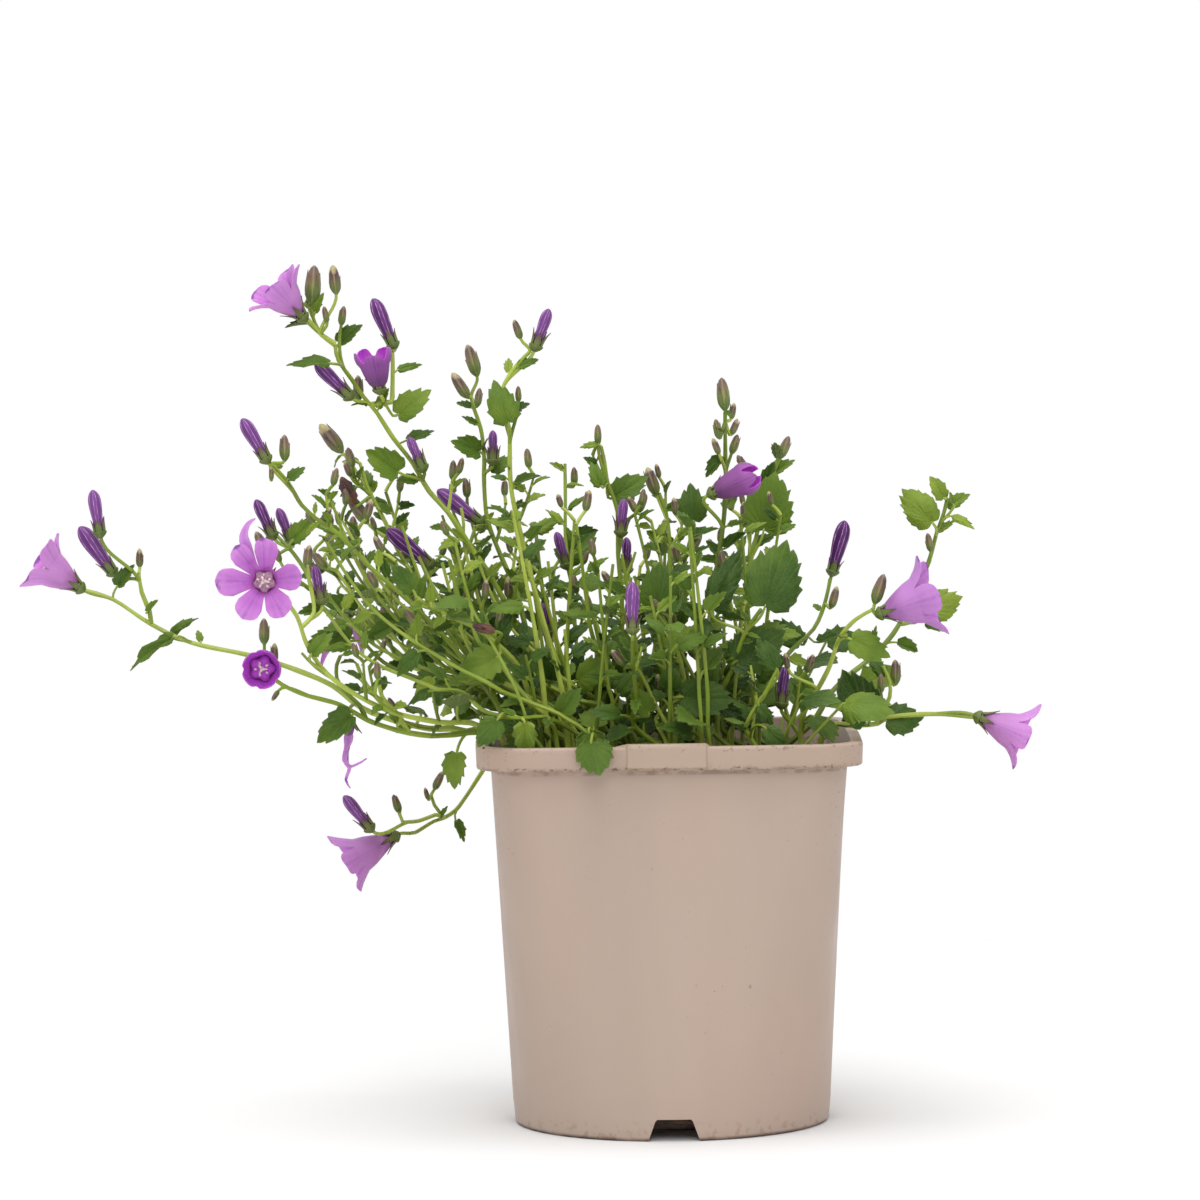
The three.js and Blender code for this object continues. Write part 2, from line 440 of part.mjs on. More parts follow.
// Points along a smooth curve through the given ones, about "step" apart.
function smooth(points, step) {
  const out = [];
  for (let i = 0; i + 1 < points.length; i++) {
    const [b, c] = [points[i], points[i + 1]];
    const a = points[Math.max(i - 1, 0)];
    const d = points[Math.min(i + 2, points.length - 1)];
    const n = Math.max(1, Math.floor(b.distanceTo(c) / step + 0.5));
    for (let k = 0; k < n; k++) {
      const t = k / n;
      out.push(
        blend(
          [a, 0.5 * (-t + 2 * t * t - t * t * t)],
          [b, 0.5 * (2 - 5 * t * t + 3 * t * t * t)],
          [c, 0.5 * (t + 4 * t * t - 3 * t * t * t)],
          [d, 0.5 * (-t * t + t * t * t)],
        ),
      );
    }
  }
  out.push(points.at(-1).clone());
  return out;
}

// What the space is taken by: balls, each with the node it belongs to, kept in 10 mm cells.
const CELL = 10;
const cells = new Map();
const cellOf = (x, y, z) => [x, y, z].map((c) => Math.floor(c / CELL));

function take(node, kind, balls) {
  for (const [at, radius] of balls) {
    const key = cellOf(at.x, at.y, at.z).join();
    if (!cells.has(key)) cells.set(key, []);
    cells.get(key).push({ at, radius, node, kind });
  }
}

function* near(point) {
  const [i, j, k] = cellOf(point.x, point.y, point.z);
  for (let a = i - 1; a <= i + 1; a++)
    for (let b = j - 1; b <= j + 1; b++)
      for (let c = k - 1; c <= k + 1; c++) yield* cells.get([a, b, c].join()) ?? [];
}

// Whether a ball would touch the pot's rim, its wall or the soil.
function hitsPot(at, radius) {
  const out = Math.max(Math.abs(at.x), Math.abs(at.y));
  const besideWall = out > RIM_HALF - RIM_LIP - 2.5 - radius && out < RIM_HALF + 1.4 + radius;
  if (besideWall && at.z < POT_HEIGHT + 1 + radius) return true;
  return out < RIM_HALF && at.z < SOIL_TOP + SOIL_LUMP + 0.4 + radius;
}

// Whether balls of a node are clear of the pot, of every other node and of its own blades.
function isClear(node, balls) {
  for (const [at, radius] of balls) {
    if (hitsPot(at, radius)) return false;
    for (const other of near(at)) {
      if (other.node === node && other.kind !== "blade") continue;
      if (at.distanceTo(other.at) < radius + other.radius + CLEAR) return false;
    }
  }
  return true;
}

// Balls along a route, close enough that nothing slips between them.
function ballsAlong(route, radius) {
  const balls = [];
  for (let i = 0; i + 1 < route.length; i++) {
    const n = Math.max(1, Math.ceil(route[i].distanceTo(route[i + 1]) / 1.5));
    for (let k = 0; k < n; k++) balls.push([route[i].clone().lerp(route[i + 1], k / n), radius]);
  }
  balls.push([route.at(-1).clone(), radius]);
  return balls;
}

// Bends a stem clear of the stems that are already there, and over the pot's rim.
function bendClear(route, radius, fixed) {
  for (let pass = 0; pass < 8; pass++)
    for (let i = fixed; i < route.length; i++) {
      for (const other of near(route[i])) {
        const away = route[i].clone().sub(other.at);
        const short = radius + other.radius + CLEAR + 0.5 - away.length();
        if (short <= 0) continue;
        away.setLength(short * 0.7);
        route[i].add(away);
        if (i > fixed) route[i - 1].addScaledVector(away, 0.5);
        if (i + 1 < route.length) route[i + 1].addScaledVector(away, 0.5);
      }
      const out = Math.max(Math.abs(route[i].x), Math.abs(route[i].y));
      if (out > RIM_HALF - 9 && out < RIM_HALF + 3)
        route[i].z = Math.max(route[i].z, POT_HEIGHT + 1 + radius);
    }
  return route;
}

// A leaf's frame: its junction with the petiole, its length, and the directions along it, across it
// and out of its upper face.
function leafFrame(base, tip, normalHint) {
  const along = tip.clone().sub(base);
  const length = along.length();
  along.normalize();
  const [face, across] = squareTo(along, normalHint);
  return { base, length, along, across: across.negate(), face };
}

const BACK_LOBE = 2.62;
function bladePoint(leaf, reach, angle) {
  const x = leaf.length * (0.4 + reach * Math.cos(angle));
  const y = leaf.length * reach * Math.sin(angle);
  const lift = 0.16 * Math.abs(y) - (leaf.droop * x * x) / leaf.length;
  return blend([leaf.base, 1], [leaf.along, x], [leaf.across, y], [leaf.face, lift]);
}

function bladeBalls(leaf) {
  const balls = [];
  for (const [reach, count] of [[0.02, 1], [0.25, 5], [0.48, 11]])
    for (let k = 0; k < count; k++) {
      const angle = count === 1 ? 0 : mix(-BACK_LOBE, BACK_LOBE, k / (count - 1));
      balls.push([bladePoint(leaf, reach, angle), 0.6 + 0.05 * leaf.length]);
    }
  return balls;
}

// A leaf in one closed piece: a four-sided petiole that ends in the blade's narrow base, and a round
// toothed blade, heart-shaped at its base, with "teeth" points, alike on both faces.
function makeLeaf(leaf, teeth, way) {
  const half = BLADE / 2;
  const corner = (across) => blend([leaf.base, 1], [leaf.across, across * PETIOLE_RADIUS]);
  const outline = [corner(-1)];
  const last = 2 * teeth - 2;
  for (let i = 0; i <= last; i++) {
    const angle = mix(-BACK_LOBE, BACK_LOBE, i / last);
    const tooth = i % 2 === 0 ? 1 : TOOTH_VALLEY;
    const point = i === last / 2 ? 1.08 : 1;
    outline.push(bladePoint(leaf, (0.53 + 0.05 * Math.cos(angle)) * tooth * point, angle));
  }
  outline.push(corner(1));
  const n = outline.length;
  const points = [half, -half].flatMap((h) => outline.map((p) => blend([p, 1], [leaf.face, h])));
  const faces = [];
  // The upper and lower faces fan out from the two corners of the base, and meet at the middle tooth.
  const middle = (n - 1) / 2;
  for (let i = 1; i < n - 1; i++) {
    const from = i < middle ? 0 : n - 1;
    if (i + 1 < n - 1 || from === 0) {
      faces.push([from, i, i + 1], [n + from, n + i + 1, n + i]);
    }
  }
  faces.push([0, middle, n - 1], [n, n + n - 1, n + middle]);
  for (let i = 0; i + 1 < n; i++) faces.push([i, n + i, n + i + 1], [i, n + i + 1, i + 1]);
  // The petiole's rings run back from the base's four corners to its root in the stem.
  let ring = [n - 1, 2 * n - 1, n, 0];
  let axis = leaf.along;
  const face = leaf.face.clone();
  for (let k = way.length - 2; k >= 0; k--) {
    const before = way[k + 1].clone().sub(way[k]).normalize();
    face.applyQuaternion(new THREE.Quaternion().setFromUnitVectors(axis, before));
    axis = before;
    const side = axis.clone().cross(face);
    const r = 0.8 * PETIOLE_RADIUS * (k === 0 ? ROOT_SHARE : 1);
    const next = [[1, 1], [1, -1], [-1, -1], [-1, 1]].map(([a, b]) => {
      points.push(blend([way[k], 1], [side, -a * r], [face, b * r]));
      return points.length - 1;
    });
    ring.forEach((a, i) => {
      const j = (i + 1) % 4;
      faces.push([a, ring[j], next[j]], [a, next[j], next[i]]);
    });
    ring = next;
  }
  faces.push([ring[0], ring[1], ring[2]], [ring[0], ring[2], ring[3]]);
  return solid(points, faces);
}

// The points of a stem that get a ring, and that stalks may start from. Over the rim it is all of them.
function isKnot(route, i) {
  const { x, y, z } = route[i];
  const out = Math.max(Math.abs(x), Math.abs(y));
  const overRim = out > RIM_HALF - 16 && out < RIM_HALF + 8 && z < POT_HEIGHT + 10;
  return i < 2 || i % STEM_SKIP === 0 || i === route.length - 1 || overRim;
}

function knotNear(route, index) {
  for (let off = 0; ; off++)
    for (const i of [index - off, index + off]) if (i > 0 && i < route.length && isKnot(route, i)) return i;
}

// A stalk from the nearest stem of the spray to a base, leaving the stem in its own direction and
// meeting the base along its axis.
function stalk(routes, base, axis) {
  let best = null;
  for (const route of routes)
    route.forEach((p, i) => {
      const d = p.distanceTo(base);
      if (i > 0 && (!best || d < best.d)) best = { route, i, d };
    });
  const { route, d } = best;
  let i = knotNear(route, best.i - Math.floor((0.4 * d) / BEND_STEP + 0.5));
  while (i > 1 && (!isKnot(route, i) || route[i].distanceTo(base) < 2)) i--;
  const start = route[i];
  const stemDirection = start.clone().sub(route[i - 1]).normalize();
  const far = start.distanceTo(base);
  const a = blend([start, 1], [stemDirection, 0.2 * far], [base, 0.12], [start, -0.12]);
  const b = blend([base, 1], [axis, -0.35 * far]);
  // A long stalk, or one that has to turn sharply to meet its base, gets a ring on its way.
  const turned = base.clone().sub(start).normalize().dot(axis);
  const steps = far > 10 || turned < 0.2 ? 2 : 1;
  const out = [];
  for (let k = 0; k <= steps; k++) {
    const t = k / steps;
    const s = 1 - t;
    out.push(blend([start, s * s * s], [a, 3 * s * s * t], [b, 3 * s * t * t], [base, t * t * t]));
  }
  return out;
}

// Rings of a rod along a route, for a loft that goes on past its end.
function ringsAlong(route, radius, sides) {
  let side = null;
  return route.map((p, i) => {
    const axis = route[Math.min(i + 1, route.length - 1)].clone().sub(route[Math.max(i - 1, 0)]).normalize();
    const [s, across] = squareTo(axis, side ?? FRONT);
    side = s;
    return ringAt(p, s, across, Array(sides).fill(i === 0 ? radius * ROOT_SHARE : radius));
  });
}

// A closed green bud on its pedicel: a four-sided spindle.
function makeBud(way, base, tip) {
  const axis = tip.clone().sub(base);
  const length = axis.length();
  axis.normalize();
  const rings = ringsAlong(way, PEDICEL_RADIUS, 4);
  const [side, across] = squareTo(axis, rings.at(-1)[0].clone().sub(way.at(-1)).normalize());
  const ring = (share, r) =>
    ringAt(blend([base, 1], [axis, share * length]), side, across, Array(4).fill(r * length));
  return loft([...rings, ring(0.32, 0.2), ring(0.7, 0.15), [tip]]);
}

// The green cup under a corolla, on its pedicel: five pointed sepals stand round its flat top.
function makeCalyx(way, base, axis, sepal, lean) {
  const rings = ringsAlong(way, PEDICEL_RADIUS, 5);
  const [side, across] = squareTo(axis, rings.at(-1)[0].clone().sub(way.at(-1)).normalize());
  const fifth = (2 * Math.PI) / 5;
  const spot = (radius, height, angle) =>
    blend([base, 1], [axis, height], [side, radius * Math.cos(angle)], [across, radius * Math.sin(angle)]);
  rings.push(Array.from({ length: 5 }, (_, k) => spot(CUP.radius, -CUP.depth, fifth * k)));
  const points = rings.flat();
  const faces = [];
  rings.slice(1).forEach((_, r) => {
    for (let i = 0; i < 5; i++) {
      const [a, b] = [5 * r + i, 5 * r + ((i + 1) % 5)];
      faces.push([a, b, b + 5], [a, b + 5, a + 5]);
    }
  });
  faces.push([0, 2, 1], [0, 3, 2], [0, 4, 3]);
  const last = points.length - 5;
  const top = points.length;
  points.push(spot(0, 0, 0));
  for (let k = 0; k < 5; k++) {
    points.push(spot(2.0, -0.3, fifth * (k - 0.5)));
    points.push(spot(2.0, -0.1, fifth * k));
    points.push(spot(2.4 + lean * sepal, sepal, fifth * k));
  }
  for (let k = 0; k < 5; k++) {
    const [sinus, inside, tip] = [top + 1 + 3 * k, top + 2 + 3 * k, top + 3 + 3 * k];
    const nextSinus = top + 1 + 3 * ((k + 1) % 5);
    const next = last + ((k + 1) % 5);
    faces.push([top, sinus, inside], [top, inside, nextSinus]);
    faces.push([sinus, tip, inside], [inside, tip, nextSinus]);
    faces.push([last + k, tip, sinus], [last + k, nextSinus, tip], [last + k, next, nextSinus]);
  }
  return solid(points, faces);
}

// A closed violet bud: ten points round, every second one sunk, so that five folds run to its tip.
function makeVioletBud(base, axis, length) {
  const [side, across] = squareTo(axis);
  const ring = (share, r) => {
    const radii = Array.from({ length: 10 }, (_, i) => r * length * (i % 2 ? 0.76 : 1));
    return ringAt(blend([base, 1], [axis, share * length]), side, across, radii);
  };
  return loft([ring(0, 0.08), ring(0.55, 0.165), [blend([base, 1], [axis, length])]]);
}

// How far a bell's lobes reach along its axis, in shares of the length of its tube.
const bellReach = (open) => mix(1.45, 1.0, open);

// A bell: a narrow tube that widens to a mouth with five pointed lobes, with a wall of its own and, in
// an open one, the style. "open" runs from 0, a cup with upright lobes, to 1, lobes spread flat.
function makeBell(base, axis, length, open) {
  const [side, across] = squareTo(axis);
  const spot = (radius, height, angle) =>
    blend([base, 1], [axis, height], [side, radius * Math.cos(angle)], [across, radius * Math.sin(angle)]);
  const tenth = Math.PI / 5;
  const mouth = mix(4.6, 5.6, open);
  const tube = [
    [1.5, 0],
    [mouth, 0.82 * length],
  ];
  const shoulder = [mix(5.6, 9.4, open), mix(1.12, 1.02, open) * length];
  const tip = [mix(4.6, 13.2, open), bellReach(open) * length];
  const shoulderTurn = 0.62 * tenth;
  const face = (inward) => {
    const thin = inward ? PETAL : 0;
    const points = [];
    tube.forEach(([r, h], k) => {
      for (let i = 0; i < 10; i++) {
        points.push(spot(Math.max(r - thin, 0.7), h + (k === 0 ? thin : 0), tenth * i));
      }
    });
    for (let k = 0; k < 5; k++) {
      const middle = 2 * k * tenth;
      const back = thin * mix(1, 0.25, open);
      const up = thin * mix(0.1, 1, open);
      points.push(spot(shoulder[0] - back, shoulder[1] + up, middle - shoulderTurn));
      points.push(spot(tip[0] - back, tip[1] + up, middle));
      points.push(spot(shoulder[0] - back, shoulder[1] + up, middle + shoulderTurn));
    }
    return points;
  };
  const points = [...face(false), ...face(true)];
  const half = points.length / 2;
  const faces = [];
  const both = (a, b, c) => faces.push([a, b, c], [half + a, half + c, half + b]);
  for (let a = 0; a < 10; a++) {
    const b = (a + 1) % 10;
    both(a, b, b + 10);
    both(a, b + 10, a + 10);
  }
  for (let i = 1; i + 1 < 10; i++) both(0, i + 1, i);
  const edge = [];
  for (let k = 0; k < 5; k++) {
    const middle = 10 + 2 * k;
    const [left, right] = [10 + ((2 * k + 9) % 10), 10 + ((2 * k + 1) % 10)];
    const [a, t, b] = [20 + 3 * k, 21 + 3 * k, 22 + 3 * k];
    both(left, middle, a);
    both(a, middle, t);
    both(t, middle, b);
    both(b, middle, right);
    edge.push(left, a, t, b);
  }
  edge.forEach((a, i) => {
    const b = edge[(i + 1) % edge.length];
    faces.push([a, b, half + b], [a, half + b, half + a]);
  });
  const bell = solid(points, faces);
  if (open < 0.5) return bell;
  const style = [blend([base, 1], [axis, 0.2]), blend([base, 1], [axis, 0.95 * length])];
  return bell.add(rod(style, 0.7, 0.9, 4));
}

// The balls that a bell or a violet bud takes up.
function corollaBalls(base, axis, length, open) {
  const [side, across] = squareTo(axis);
  const balls = [];
  const wide = open === null ? 0.17 * length : 5.6;
  for (const share of [0.15, 0.35, 0.55, 0.75, 0.95])
    balls.push([blend([base, 1], [axis, share * length]), mix(1.8, wide, Math.min(1, share / 0.7))]);
  if (open === null) return balls;
  for (let k = 0; k < 5; k++)
    for (const [low, high, height] of [[5.4, 9.2, 1.1], [4.6, 12.6, bellReach(open)]]) {
      const a = (2 * Math.PI * k) / 5;
      const r = mix(low, high, open);
      const turned = blend([side, r * Math.cos(a)], [across, r * Math.sin(a)]);
      balls.push([blend([base, 1], [axis, height * length], [turned, 1]), 2.2]);
    }
  return balls;
}

const FLOWERS = {
  violet_bud: { open: null, sepal: 4.2, lean: 0.42 },
  bloom: { open: 0.72, sepal: 5.2, lean: 0.62 },
  open_bloom: { open: 1, sepal: 5.2, lean: 0.7 },
  cup_bloom: { open: 0.12, sepal: 5, lean: 0.5 },
};

// Moves a thing forwards or backwards until it is clear, which leaves the front view as it is.
const SHIFTS = [0, 2.5, -2.5, 5, -5, 7.5, -7.5, 10, -10, 13, -13, 16, -16];
function settle(node, ballsAt) {
  for (const shift of SHIFTS) {
    const balls = ballsAt(vec(0, shift, 0));
    if (isClear(node, balls)) return [vec(0, shift, 0), balls];
  }
  return [vec(0, 0, 0), ballsAt(vec(0, 0, 0))];
}

// Every spray's stems first, then its flowers and buds, then its leaves, so that each bends or moves
// clear of what was there before.
const plants = SPRAYS.map((spray, index) => {
  const node = "spray_" + spray.name;
  const [x, y] = spray.root;
  const top = vec(x, y, SOIL_TOP + 4);
  const stem = spray.stem.map((p) => vec(...p));
  const foot = vec(x, y, SOIL_TOP - HOLE_DEPTH + 1);
  const main = [foot, ...bendClear(smooth([top, ...stem], BEND_STEP), spray.radius, 1)];
  take(node, "stem", ballsAlong(main, spray.radius));
  return { spray, node, index, routes: [main], solids: [], petals: [] };
});

for (const plant of plants) {
  const { spray, node, routes } = plant;
  for (const points of spray.shoots) {
    const [first, ...rest] = points.map((p) => vec(...p));
    const from = stalk(routes, first, rest[0].clone().sub(first).normalize());
    const shoot = bendClear(smooth([from[0], ...rest], BEND_STEP), spray.radius * 0.75, 1);
    take(node, "stem", ballsAlong(shoot, spray.radius * 0.75));
    routes.push(shoot);
  }
}

for (const plant of plants) {
  const { spray, node, routes } = plant;
  let count = 0;
  for (const [kind, from, to] of spray.organs) {
    if (kind === "leaf") continue;
    const base = vec(...from);
    const axis = vec(...to).sub(base);
    const flower = FLOWERS[kind];
    const length = axis.length() / (flower?.open != null ? bellReach(flower.open) : 1);
    axis.normalize();
    if (!flower) {
      const [shift] = settle(node, (move) => ballsAlong([base.clone().add(move), vec(...to).add(move)], 1.6));
      const foot = base.clone().add(shift);
      const tip = vec(...to).add(shift);
      const way = stalk(routes, foot, axis);
      take(node, "stem", [...ballsAlong(way, PEDICEL_RADIUS), ...ballsAlong([foot, tip], 1.7)]);
      plant.solids.push(makeBud(way, foot, tip));
      continue;
    }
    const name = `${kind}_${spray.name}_${(count += 1)}`;
    const ballsAt = (seat) => corollaBalls(seat, axis, length, flower.open);
    const [shift] = settle(name, (move) => ballsAt(blend([base, 1], [move, 1], [axis, SEAT])).slice(1));
    const foot = base.clone().add(shift);
    const seat = blend([foot, 1], [axis, SEAT]);
    const way = stalk(routes, blend([foot, 1], [axis, -1.6]), axis);
    take(name, "corolla", ballsAt(seat));
    take(node, "stem", [...ballsAlong(way, PEDICEL_RADIUS), [foot, 2.6]]);
    plant.solids.push(makeCalyx(way, foot, axis, flower.sepal, flower.lean));
    const corolla =
      flower.open === null ? makeVioletBud(seat, axis, length) : makeBell(seat, axis, length, flower.open);
    plant.petals.push({ name, corolla });
  }
}

// Adds one leaf with its petiole if there is room for it.
function addLeaf(plant, leaf, teeth, must) {
  const { node, routes, solids } = plant;
  const way = stalk(routes, leaf.base, leaf.along);
  const balls = [...bladeBalls(leaf), ...ballsAlong(way.slice(1), PETIOLE_RADIUS)];
  if (!must && !isClear(node, balls)) return false;
  take(node, "blade", bladeBalls(leaf));
  take(node, "stem", ballsAlong(way, PETIOLE_RADIUS));
  solids.push(makeLeaf(leaf, teeth, way));
  return true;
}

const BIG_LEAF = 16;
for (const plant of plants) {
  for (const [kind, from, to, turned] of plant.spray.organs) {
    if (kind !== "leaf") continue;
    const a = (turned * Math.PI) / 180;
    const hint = blend([FRONT, Math.cos(a)], [UP, Math.sin(a)]);
    const frame = (move) => {
      const leaf = leafFrame(vec(...from).add(move), vec(...to).add(move), hint);
      return { ...leaf, droop: 0.12 };
    };
    const [shift] = settle(plant.node, (move) => bladeBalls(frame(move)));
    const leaf = frame(shift);
    addLeaf(plant, leaf, leaf.length > BIG_LEAF ? 7 : 5, true);
  }
}

// The leaves that the rule adds: one after the other round the stem by the golden angle, large on long
// petioles low down and small on short ones towards the tip.
const TRIES = 8;
for (const plant of plants) {
  const draw = drawer(SEED + 97 * plant.index);
  const main = plant.routes[0];
  const count = plant.spray.leaves;
  for (let k = 0; k < count; k++) {
    const t = (k + 0.5 + 0.6 * (draw() - 0.5)) / count;
    const i = Math.floor(mix(2, main.length - 2, t));
    const turn = k * GOLDEN + draw();
    const length = mix(15, 7, t) * mix(0.8, 1.2, draw());
    const petiole = mix(13, 2.5, Math.sqrt(t)) * mix(0.7, 1.3, draw());
    const tilt = draw();
    const stemDirection = main[i].clone().sub(main[i - 1]).normalize();
    const [side, across] = squareTo(stemDirection);
    for (let attempt = 0; attempt < TRIES; attempt++) {
      const a = turn + attempt * GOLDEN;
      const out = blend([side, Math.cos(a)], [across, Math.sin(a)]);
      const reach = petiole * (1 - 0.06 * attempt);
      const way = blend([stemDirection, 0.5], [out, 1], [UP, 0.25]).normalize();
      const base = blend([main[i], 1], [way, reach]);
      const along = blend([out, 1], [UP, mix(-0.5, 0.5, tilt)], [stemDirection, 0.3]).normalize();
      const tip = blend([base, 1], [along, length * (1 - 0.04 * attempt)]);
      const hint = blend([UP, 0.8], [FRONT, mix(0, 1.3, tilt)]);
      const leaf = { ...leafFrame(base, tip, hint), droop: 0.15 };
      if (addLeaf(plant, leaf, leaf.length > BIG_LEAF ? 7 : 5, false)) break;
    }
  }
}

// One closed body from a spray's pieces, without slivers: a loose scrap or a sealed hollow goes.
const SLIVER = 0.08;
function fuse(pieces) {
  const bodies = wasm.Manifold.union(pieces).simplify(SLIVER).decompose();
  return bodies.reduce((a, b) => (b.volume() > a.volume() ? b : a));
}

function meshOf(name, body, material) {
  const { numProp, vertProperties, triVerts } = body.getMesh();
  const positions = new Float32Array((vertProperties.length / numProp) * 3);
  for (let i = 0; i < positions.length / 3; i++)
    positions.set(vertProperties.subarray(i * numProp, i * numProp + 3), 3 * i);
  const geometry = new THREE.BufferGeometry();
  geometry.setAttribute("position", new THREE.BufferAttribute(positions, 3));
  geometry.setIndex(new THREE.BufferAttribute(triVerts, 1));
  geometry.computeVertexNormals();
  const mesh = new THREE.Mesh(geometry, material);
  mesh.name = name;
  return mesh;
}

const plastic = (color, roughness) => new THREE.MeshStandardMaterial({ color, roughness, metalness: 0 });
const group = new THREE.Group();
group.name = "potted_dalmatian_bellflower";
group.add(meshOf("pot", makePot(), plastic(0xb9a596, 0.55)));
const roots = plants.map(({ spray }) => ({ x: spray.root[0], y: spray.root[1], radius: spray.radius }));
group.add(meshOf("soil", makeSoil(roots), plastic(0x2c2018, 1)));
const green = () => plastic(0x5f8a3c, 0.7);
const violet = () => plastic(0x9a5fc0, 0.6);
for (const { spray, node, routes, solids, petals } of plants) {
  const stems = routes.map((route, k) => {
    const thick = spray.radius * (k === 0 ? 1 : 0.75);
    const every = route.filter((_, i) => isKnot(route, i));
    return rod(every, thick, PEDICEL_RADIUS, 3);
  });
  group.add(meshOf(node, fuse([...stems, ...solids]), green()));
  for (const { name, corolla } of petals) group.add(meshOf(name, corolla, violet()));
}

export default group;
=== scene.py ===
# %% [markdown]
# # A dalmatian bellflower in its nursery pot
# This lesson dresses a plain solid model of a potted Campanula portenschlagiana: thin leafy stems, toothed
# round leaves, ribbed violet buds and open bells over a taupe plastic pot. The solids are loaded first and
# stay where they are. Each visible surface is then rebuilt in mesh code over its solid, and gets a finish
# made of shader nodes. We start by loading the solids.

import itertools
import math

import bpy
import numpy as np
from mathutils import Matrix


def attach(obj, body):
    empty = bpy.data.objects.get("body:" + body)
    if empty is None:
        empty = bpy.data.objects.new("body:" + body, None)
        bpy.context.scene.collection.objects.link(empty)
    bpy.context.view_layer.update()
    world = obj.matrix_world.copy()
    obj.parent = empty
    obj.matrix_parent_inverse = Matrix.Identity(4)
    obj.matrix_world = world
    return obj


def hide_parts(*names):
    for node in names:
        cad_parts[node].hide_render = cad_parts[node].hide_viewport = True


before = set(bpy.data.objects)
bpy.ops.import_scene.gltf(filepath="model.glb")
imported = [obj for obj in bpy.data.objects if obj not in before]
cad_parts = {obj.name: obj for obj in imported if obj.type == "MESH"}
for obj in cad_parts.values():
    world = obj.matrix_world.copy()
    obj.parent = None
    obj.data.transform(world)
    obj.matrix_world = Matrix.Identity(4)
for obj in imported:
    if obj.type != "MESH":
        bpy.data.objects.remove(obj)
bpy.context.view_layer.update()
scene = bpy.context.scene
scene.view_settings.view_transform = "Standard"
MM = 0.001
print("solids loaded:", len(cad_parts))

# %% [markdown]
# The photograph was taken from a little above the rim with a long lens, and the camera was tilted by less
# than a degree. A long lens far away keeps the pot's sides nearly parallel, so we place our camera 1.75 m
# in front, look down by three degrees and roll by the same small tilt.

# %% Camera
EYE = (-21.0, -1750.0, 260.0)
LENS, SENSOR, LOOK_DOWN, ROLL = 164.37, 36, 3.04, -0.75


def link_object(name, data):
    made = bpy.data.objects.new(name, data)
    scene.collection.objects.link(made)
    return made


lens = bpy.data.cameras.new("camera")
lens.lens = LENS
lens.sensor_width = SENSOR
camera = link_object("camera", lens)
camera.matrix_world = (Matrix.Translation([c * MM for c in EYE])
                       @ Matrix.Rotation(math.radians(90 - LOOK_DOWN), 4, "X")
                       @ Matrix.Rotation(math.radians(ROLL), 4, "Z"))
scene.camera = camera
print("camera in front, lens", lens.lens, "mm")

# %% [markdown]
# The object stands on a studio table. The floor is one round white sheet, small enough to be lit to pure
# white at its far edge, where it meets a background just as white.

# %% Floor
FLOOR_RADIUS, FLOOR_SIDES, FLOOR_WHITE = 0.5, 96, 0.8


def new_material(name):
    material = bpy.data.materials.new(name)
    material.use_nodes = True
    nodes = material.node_tree.nodes
    return material, nodes, material.node_tree.links, nodes["Principled BSDF"]


floor_finish, _, _, skin = new_material("white_table")
skin.inputs["Base Color"].default_value = (FLOOR_WHITE, FLOOR_WHITE, FLOOR_WHITE, 1)
skin.inputs["Roughness"].default_value = 0.9
edge = [2 * math.pi * k / FLOOR_SIDES for k in range(FLOOR_SIDES)]
floor_mesh = bpy.data.meshes.new("floor")
floor_mesh.from_pydata([(FLOOR_RADIUS * math.cos(a), FLOOR_RADIUS * math.sin(a), 0) for a in edge], [],
                       [list(range(FLOOR_SIDES))])
floor_mesh.materials.append(floor_finish)
floor = link_object("floor", floor_mesh)
print("floor radius:", FLOOR_RADIUS, "m")

# %% [markdown]
# The light comes from a large soft box overhead and a second one high in front, so shadows are faint and the
# upper sides of the stems are the brightest. The sky is white too, but a little dimmer high in front, which
# lets the soft boxes model the leaves.

# %% Sky and soft boxes
DIMMING = -0.42
DIM_TOWARDS = (("Y", 0.2, -0.6), ("Z", 0.05, 0.3))
BOX_WIDTH, BOX_AIM = 1.2, (0, 0, 0.15)

sky = bpy.data.worlds.new("sky")
scene.world = sky
sky.use_nodes = True
nodes, links = sky.node_tree.nodes, sky.node_tree.links
toward, parts, dim, strength = (nodes.new("ShaderNode" + kind)
                                for kind in ("TexCoord", "SeparateXYZ", "Math", "Math"))
links.new(toward.outputs["Generated"], parts.inputs["Vector"])
dim.operation, strength.operation = "MULTIPLY", "MULTIPLY_ADD"
for (axis, none, full), socket in zip(DIM_TOWARDS, dim.inputs):
    share = nodes.new("ShaderNodeMapRange")
    share.inputs["From Min"].default_value, share.inputs["From Max"].default_value = none, full
    links.new(parts.outputs[axis], share.inputs["Value"])
    links.new(share.outputs["Result"], socket)
links.new(dim.outputs[0], strength.inputs[0])
strength.inputs[1].default_value, strength.inputs[2].default_value = DIMMING, 1.0
nodes["Background"].inputs["Color"].default_value = (1, 1, 1, 1)
links.new(strength.outputs[0], nodes["Background"].inputs["Strength"])


def soft_box(name, place, power):
    lamp = bpy.data.lights.new(name, "AREA")
    lamp.shape, lamp.size, lamp.energy = "SQUARE", BOX_WIDTH, power
    box = link_object(name, lamp)
    box.location = place
    way = [a - b for a, b in zip(BOX_AIM, place)]
    level = math.hypot(way[0], way[1])
    box.rotation_euler = (math.atan2(level, -way[2]), 0, math.atan2(way[1], way[0]) - math.pi / 2)


soft_box("overhead", (-0.2, -0.4, 1.7), 16)
soft_box("front", (0.1, -2.0, 1.5), 15)
print("lights:", [lamp.name for lamp in bpy.data.lights])

